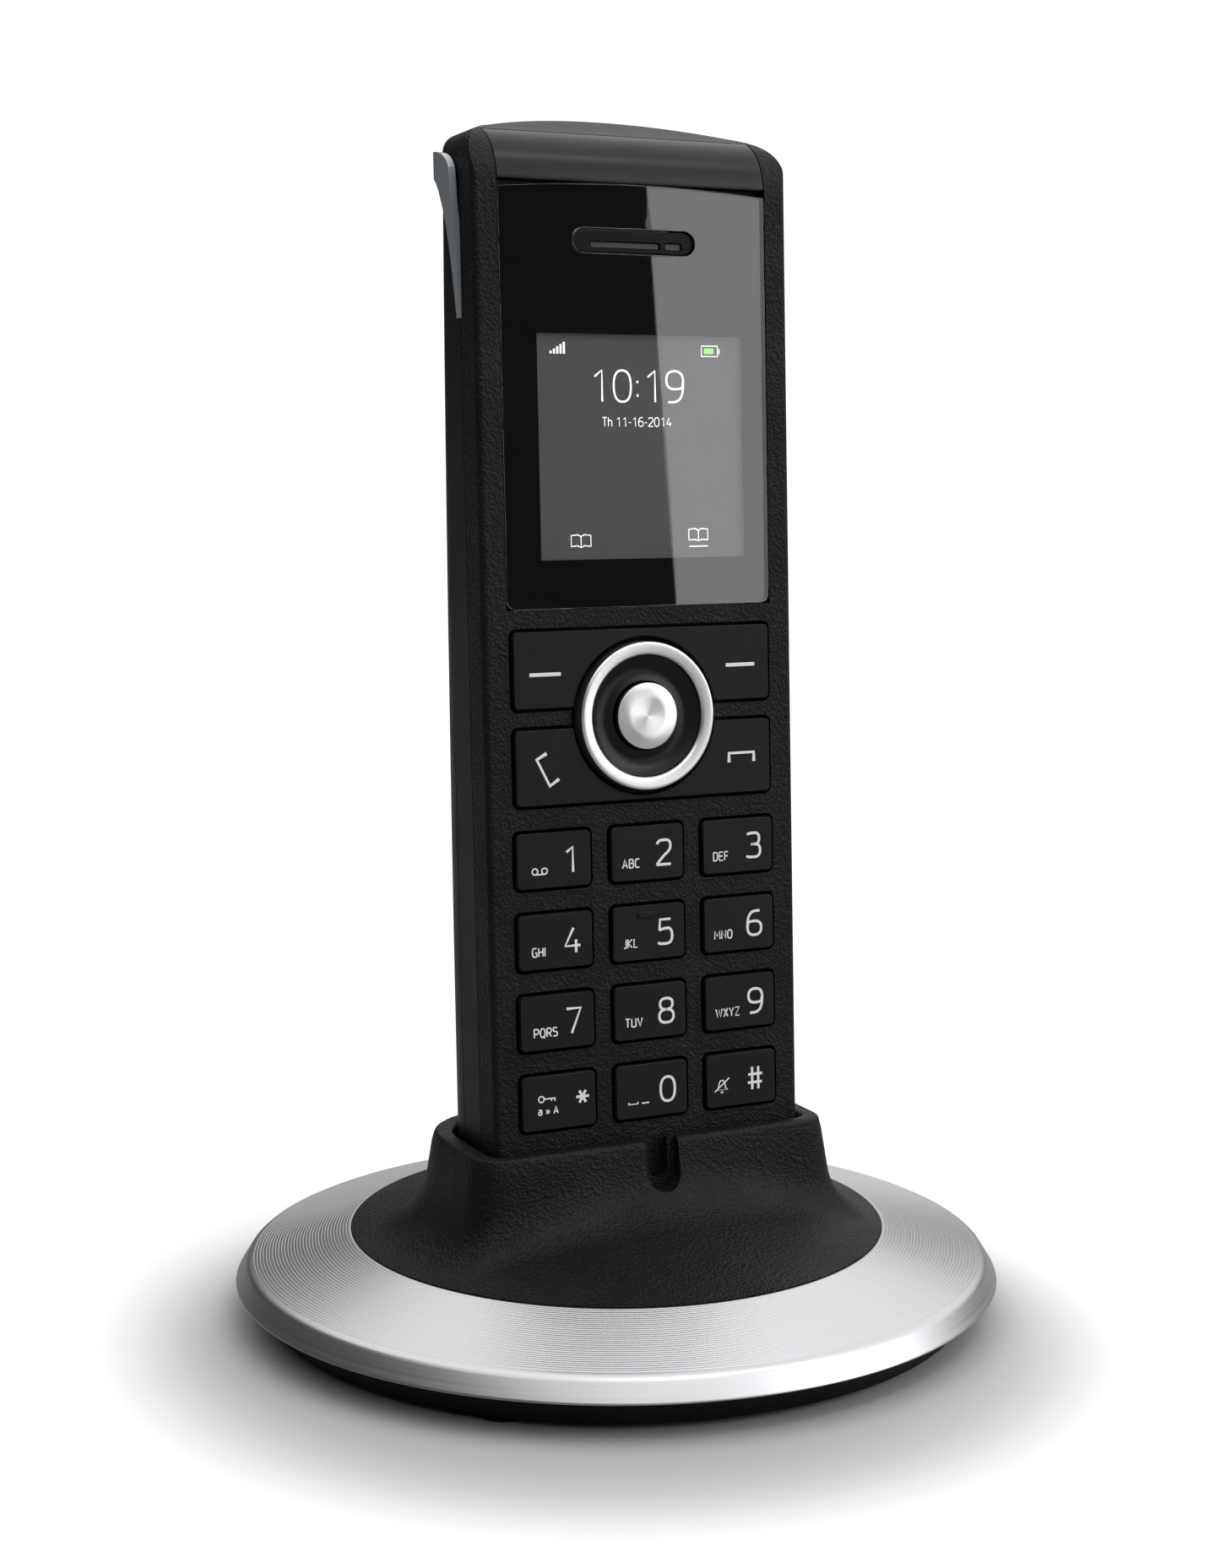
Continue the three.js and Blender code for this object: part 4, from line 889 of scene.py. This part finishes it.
BELL = [(-4.1, -1.3), (-3.75, -1.0), (-3.65, -0.4), (-3.4, 0.05),
        (-2.95, 0.05), (-2.7, -0.4), (-2.6, -1.0), (-2.25, -1.3)]
KEY_SIGNS = {  # thick and thin lines of the signs that aren't letters
    "1": ([], [(circle(-2.95, -1.42, 0.42), True), (circle(-1.5, -1.42, 0.42), True),
               ([(-2.95, -1.84), (-1.5, -1.84)], False)]),
    "star": (spokes(3.55, 0.35, 0.98), [
        (circle(-2.75, 0.6, 0.42), True), ([(-2.35, 0.6), (-0.6, 0.6)], False),
        ([(-0.7, 0.6), (-0.7, 0.2)], False), ([(-1.2, 0.6), (-1.2, 0.25)], False)]
        + lettering("a \u00bb A", -3.2, -1.56, 1.0)),
    "0": ([], [([(-3.7, -1.45), (-3.7, -1.72), (-2.25, -1.72), (-2.25, -1.45)], False),
               ([(-1.65, -1.72), (-0.5, -1.72)], False)]),
    "hash": ([([(1.1, -0.75), (3.4, -0.75)], False), ([(1.15, 0.45), (3.45, 0.45)], False),
              ([(1.8, -1.75), (1.8, 1.5)], False), ([(2.8, -1.75), (2.8, 1.5)], False)],
             [(BELL, True), ([(-4.35, -1.5), (-1.95, 0.35)], False),
              ([(-3.4, -1.65), (-2.95, -1.65)], False)]),
}
for index, (name, (figure, letters)) in enumerate(LEGENDS.items()):
    x = (index % 3 - 1) * KEY_PITCH
    z = KEY_ROWS[index // 3]
    key = prism(f"keycap_{name}", rounded(x, z, KEY_W, KEY_H, KEY_R, 6), "y", KEY_TOP, 1.7)
    if name == "5":
        nub = rounded(x - 0.35, z + 2.5, 2.85, 0.75, 0.36, 5)
        boolean(key, "UNION", prism("nub", nub, "y", KEY_TOP - 0.35, 0))
    soften(key, 0.16, 3)
    place(key, handset_pose)
    complete(key, key_abs, f"key_{name}", f"key_{name}")
    thick, thin = [[([(x + a, z + b) for a, b in points], closed) for points, closed in lines]
                   for lines in KEY_SIGNS.get(name, ([], []))]
    thick += lettering(figure, x + 2.5, z - 0.1 - DIGIT_HEIGHT / 2, DIGIT_HEIGHT, wide=1.05, align=0.5)
    thin += lettering(letters, x - (3.6 if index % 3 == 0 else 3.95), z - 1.95, LETTER_HEIGHT)
    parts = [printed("signs", lines, width, PRINT_DEPTH)
             for lines, width in ((thick, DIGIT_LINE), (thin, LETTER_LINE)) if lines]
    legend = joined(f"legend_{name}", *parts)
    place(legend, handset_pose)
    complete(legend, print_white, f"key_{name}")

# ---- Soft keys and call keys -----------------------------------------------------------------
# Two wide satin keys rock about the handset's middle, with the navigation key's round bay cut out of
# both. The upper one selects what the display shows, the lower one takes and ends calls.

BAR_SIGNS = {
    "soft_key_bar": [[(-17.5, 75.95), (-12.8, 75.95)], [(12.9, 76.2), (17.5, 76.2)]],
    "call_key_bar": [[(-15.2, 65.2), (-16.7, 64.4), (-14.8, 60.7), (-13.4, 61.6)],
                     [(13.2, 62.4), (13.2, 63.7), (17.2, 63.7), (17.2, 62.4)]],
}
for name, (low, high) in (("soft_key_bar", SOFT_BAR), ("call_key_bar", CALL_BAR)):
    face = rounded(0, (low + high) / 2, 2 * BAR_HALF, high - low, KEY_R, 6)
    bar = prism(f"{name}_cap", face, "y", KEY_TOP, 1.5)
    boolean(bar, "DIFFERENCE", prism("nav_bay", nav_bay, "y", -5, 5))
    soften(bar, 0.16, 3)
    place(bar, handset_pose)
    complete(bar, key_abs, name, name)
    sign = printed(f"{name}_signs", [(points, False) for points in BAR_SIGNS[name]], 0.5, PRINT_DEPTH)
    place(sign, handset_pose)
    complete(sign, print_white, name)

# ---- Navigation key --------------------------------------------------------------------------
# A chrome-plated ring round a hollow black dish, which tilt together, with a separate OK button of
# spun aluminium in the middle. Fine turning marks draw their highlights into wedges.

nav_centre = handset_pose @ Vector((0, 0, NAV_HEIGHT))
FACING = handset_pose.to_3x3() @ Vector((0, -1, 0))
# A bright band without a mirror image, wedges of light on the button, two dim streaks in the dish.
satin_chrome = turned_metal("satin_chrome_plate", "e2e3e5", 0.36, 0.3, 0.002, nav_centre, FACING, 0.3)
spun_aluminium = turned_metal(
    "circular_brushed_aluminium", "e0e1e3", 0.3, 0.14, 0.003, nav_centre, FACING, 0.85)
dish_black = turned_metal("turned_black_anodised", "2a2a2c", 0.3, 0.14, 0.003, nav_centre, FACING, 0.85)


def facing(name, profile, steps=128):
    """A turned piece facing the front; the profile is (radius, depth)."""
    return spun(name, profile, steps, axis=(0, 1, 0), centre=(0, 0, NAV_HEIGHT))


ring = facing("nav_ring_plated", [(8.5, 1.0), (10.3, 1.0), (10.3, -1.2)] + [
    (9.9 + 0.4 * math.cos(math.radians(a)), -1.3 - 0.4 * math.sin(math.radians(a))) for a in (0, 30, 60, 90)
] + [(8.85, -1.62), (8.65, -1.5), (8.5, -1.25)])
place(ring, handset_pose)
complete(ring, satin_chrome, "nav_rocker", "nav_ring")
dish_curve = [(8.4 - 3.5 * i / 12, -1.05 + math.sin(math.pi * (0.12 + 0.62 * i / 12))) for i in range(13)]
dish = facing("nav_dish_black", [(4.9, 1.0), (8.4, 1.0)] + dish_curve)
place(dish, handset_pose)
complete(dish, dish_black, "nav_rocker", "nav_dish")
button = facing("ok_button_metal", [
    (0, 0.9), (4.65, 0.9), (4.65, -1.1), (4.58, -1.3), (4.35, -1.4), (2.5, -1.36), (0, -1.33)])
place(button, handset_pose)
complete(button, spun_aluminium, "ok_button", "ok_button")
finish_cad(key_abs, "nav_gimbal")

# ---- Belt clip -------------------------------------------------------------------------------
# A springy clip moulded in ABS and painted silver-grey. Its arms grow out of the seam on both sides
# and meet behind the top, where the tongue hangs down to hold a belt or a pocket's edge.

CLIP_HALF, CLIP_BACK, CLIP_CORNER, CLIP_THICK = 25.25, 17.3, 9.0, 1.0
ARM_FOOT, ARM_TOP = 124.1, 140.0


def clip_paint():
    """Silver-grey paint: metal flakes give it a quiet sparkle under a thin clear coat."""
    material, shader = new_material("silver_grey_paint", {
        "Base Color": linear("9aa0a6"), "Metallic": 0.35, "Roughness": 0.34, "Coat Weight": 0.25})
    place_at = add_node(material, "ShaderNodeTexCoord").outputs["Object"]
    flake = add_node(material, "ShaderNodeTexNoise", {"Scale": 1 / (0.12 * MM), "Detail": 2.0},
                     {"Vector": place_at})
    tint = add_node(material, "ShaderNodeMix",
                    {"data_type": "RGBA", 6: linear("8b9197"), 7: linear("a9afb5")},
                    {0: flake.outputs["Fac"]})
    bump = add_node(material, "ShaderNodeBump", {"Strength": 0.5, "Distance": 0.004 * MM},
                    {"Height": flake.outputs["Fac"]})
    material.node_tree.links.new(tint.outputs[2], shader.inputs["Base Color"])
    material.node_tree.links.new(bump.outputs["Normal"], shader.inputs["Normal"])
    return material


silver_paint = clip_paint()


def wrap_column(name, half, back, corner):
    """A tall column with the handset's width and two rounded rear corners."""
    outline = [(-half, 0), (half, 0)] + arc((half - corner, back - corner), corner, 0, 90, 14)
    return prism(name, outline + arc((-half + corner, back - corner), corner, 90, 180, 14), "z", 119, 151)


clip_side = [(4.4, ARM_FOOT), (5.9, ARM_FOOT)]
clip_side += cubic((5.9, ARM_FOOT), (6.1, 133), (6.6, 138), (8.4, 141.0), 12)
clip_side += cubic((8.4, 141.0), (9.4, 142.6), (10.6, 143.4), (13.0, 143.4), 8)
clip_side += [(40, 143.4), (40, 146.9)] + curve((12.0, 146.9), (6.0, 146.6), (4.9, 143.9), 10)
clip_side += curve((4.9, 143.9), (4.2, 139), (4.4, ARM_FOOT), 8)[1:-1]
clip = wrap_column("belt_clip_bracket", CLIP_HALF, CLIP_BACK, CLIP_CORNER)
boolean(clip, "DIFFERENCE", wrap_column(
    "inside", CLIP_HALF - CLIP_THICK, CLIP_BACK - CLIP_THICK, CLIP_CORNER - CLIP_THICK))
for vertex in clip.data.vertices:
    vertex.co.z = 118 if vertex.co.z < 130 else 152
boolean(clip, "INTERSECT", prism("clip_side", clip_side, "x", -60, 60))
activate(clip)
bpy.ops.object.mode_set(mode="EDIT")
for height in (128, 132, 136, 140):
    bpy.ops.mesh.select_all(action="SELECT")
    bpy.ops.mesh.bisect(plane_co=(0, 0, height), plane_no=(0, 0, 1))
bpy.ops.object.mode_set(mode="OBJECT")
for vertex in clip.data.vertices:  # the arms come out of the seam flush and stand proud further up
    share = min(1.0, max(0.0, (vertex.co.z - ARM_FOOT) / (ARM_TOP - ARM_FOOT)))
    if abs(vertex.co.x) > 24:
        vertex.co.x -= math.copysign((CLIP_HALF - HALF_WIDTH - 0.1) * (1 - share), vertex.co.x)
soften(clip, 0.2, 3)
place(clip, handset_pose)
complete(clip, silver_paint, "handset", "belt_clip_frame")

tongue_side = [(17.6, 143.6), (22.0, 143.6), (22.6, 142.4), (22.6, 100.6), (21.8, 99.2), (22.1, 98.1),
               (23.4, 98.1), (24.15, 99.6), (24.15, 144.8), (22.2, 146.7), (17.6, 146.7)]
tongue = prism("belt_clip_spring_tongue", tongue_side, "x", -11, 11)
tongue_face = arc((-6.5, 102.5), 4.5, 180, 270, 8) + arc((6.5, 102.5), 4.5, 270, 360, 8)
tongue_face = [(-11, 150), (-11, 102)] + tongue_face + [(11, 150)]
boolean(tongue, "INTERSECT", prism("face", tongue_face, "y", 10, 40))
soften(tongue, 0.4, 3)
place(tongue, handset_pose)
complete(tongue, silver_paint, "belt_clip_tongue", "belt_clip_tongue")

# ---- Studio ----------------------------------------------------------------------------------
# A white sweep of floor with a soft grey shadow painted into its colour round the cradle, wide overhead
# light, a tall softbox at the right that the window mirrors, and the camera a little above the keypad.
# The floor looks white to the camera and grey to the object, as if it were far darker out of view.

CAMERA_AT = Vector((-158.27, -317.49, 123.44)) * MM
CAMERA_TURN = math.radians(-26.4965)
CAMERA_DIP = math.radians(7.741)

floor_paint, shader = new_material("white_floor_painted_shadow", {"Roughness": 0.9, "Specular IOR Level": 0.0})
floor_at = add_node(floor_paint, "ShaderNodeTexCoord").outputs["Object"]
# Painted shadow: the floor's colour turns grey near the cradle and fades to white further out, centred a
# little in front of the cradle's middle.
painted_shadow_reach = add_node(floor_paint, "ShaderNodeVectorMath", {"operation": "DISTANCE", 1: (-0.0054, -0.0107, 0)},
                {0: floor_at})
painted_shadow_fade = add_node(floor_paint, "ShaderNodeMapRange",
                {"interpolation_type": "SMOOTHERSTEP", "From Min": 0.046, "From Max": 0.084},
                {"Value": painted_shadow_reach.outputs["Value"]})
floor_with_painted_shadow = add_node(floor_paint, "ShaderNodeMix",
                {"data_type": "RGBA", 6: (0.4, 0.4, 0.4, 1), 7: linear("f6f6f6")}, {0: painted_shadow_fade.outputs[0]})
sight = add_node(floor_paint, "ShaderNodeLightPath")
paint = add_node(floor_paint, "ShaderNodeMix", {"data_type": "RGBA", 6: (0.3, 0.3, 0.3, 1)},
                 {0: sight.outputs["Is Camera Ray"], 7: floor_with_painted_shadow.outputs[2]})
floor_paint.node_tree.links.new(paint.outputs[2], shader.inputs["Base Color"])
deselect()
bpy.ops.mesh.primitive_plane_add(size=8, location=(0, 0, -0.0002))
floor = bpy.context.active_object
floor.name = "floor"
floor.data.materials.append(floor_paint)

world = bpy.data.worlds.new("studio")
bpy.context.scene.world = world
world.use_nodes = True
sky = world.node_tree
backdrop = sky.nodes["Background"]
backdrop.inputs["Color"].default_value = (1, 1, 1, 1)
path = sky.nodes.new("ShaderNodeLightPath")
level = sky.nodes.new("ShaderNodeMapRange")
level.inputs["To Min"].default_value = 0.06
level.inputs["To Max"].default_value = 1.1
sky.links.new(path.outputs["Is Camera Ray"], level.inputs["Value"])
sky.links.new(level.outputs[0], backdrop.inputs["Strength"])
bpy.context.scene.view_settings.view_transform = "Standard"


def aim(light, at, towards):
    light.location = at
    light.rotation_euler = (Vector(towards) - Vector(at)).to_track_quat("-Z", "Y").to_euler()
    bpy.context.collection.objects.link(light)


def softbox(name, at, towards, width, height, power, in_sight=True):
    data = bpy.data.lights.new(name, "AREA")
    data.shape = "RECTANGLE"
    data.size, data.size_y = width, height
    data.energy = power
    lamp = bpy.data.objects.new(name, data)
    lamp.visible_camera = in_sight
    aim(lamp, at, towards)


def around(turn, rise, distance):
    """A place at some angle round the object, counted from its front towards its right, in degrees."""
    turn, rise = math.radians(turn), math.radians(rise)
    flat = distance * math.cos(rise)
    return Vector((math.sin(turn) * flat, -math.cos(turn) * flat, math.sin(rise) * distance))


dome = bpy.data.lights.new("overhead_silk", "SUN")
dome.angle = math.radians(125)
dome.energy = 3.5
aim(bpy.data.objects.new("overhead_silk", dome), (0.38, -0.13, 1.5), (0, 0, 0))
softbox("right_softbox", around(46.1, 8, 1.0) + Vector((0, 0, 0.1)), (0, 0, 0.13), 0.66, 0.9, 4.2)
softbox("front_strip", around(14, 60, 1.3), (0, 0, 0.1), 0.9, 0.16, 2.4)
softbox("rear_panel", around(148, 8, 1.2), (0, 0, 0.02), 0.5, 0.34, 0.6, in_sight=False)

camera_data = bpy.data.cameras.new("camera")
camera_data.lens = 57.62
camera_data.shift_x = -0.0040
camera_data.shift_y = 0.0036
camera_data.clip_start = 0.01
camera = bpy.data.objects.new("camera", camera_data)
camera.location = CAMERA_AT
camera.rotation_euler = (math.pi / 2 - CAMERA_DIP, 0, CAMERA_TURN)
bpy.context.collection.objects.link(camera)
bpy.context.scene.camera = camera
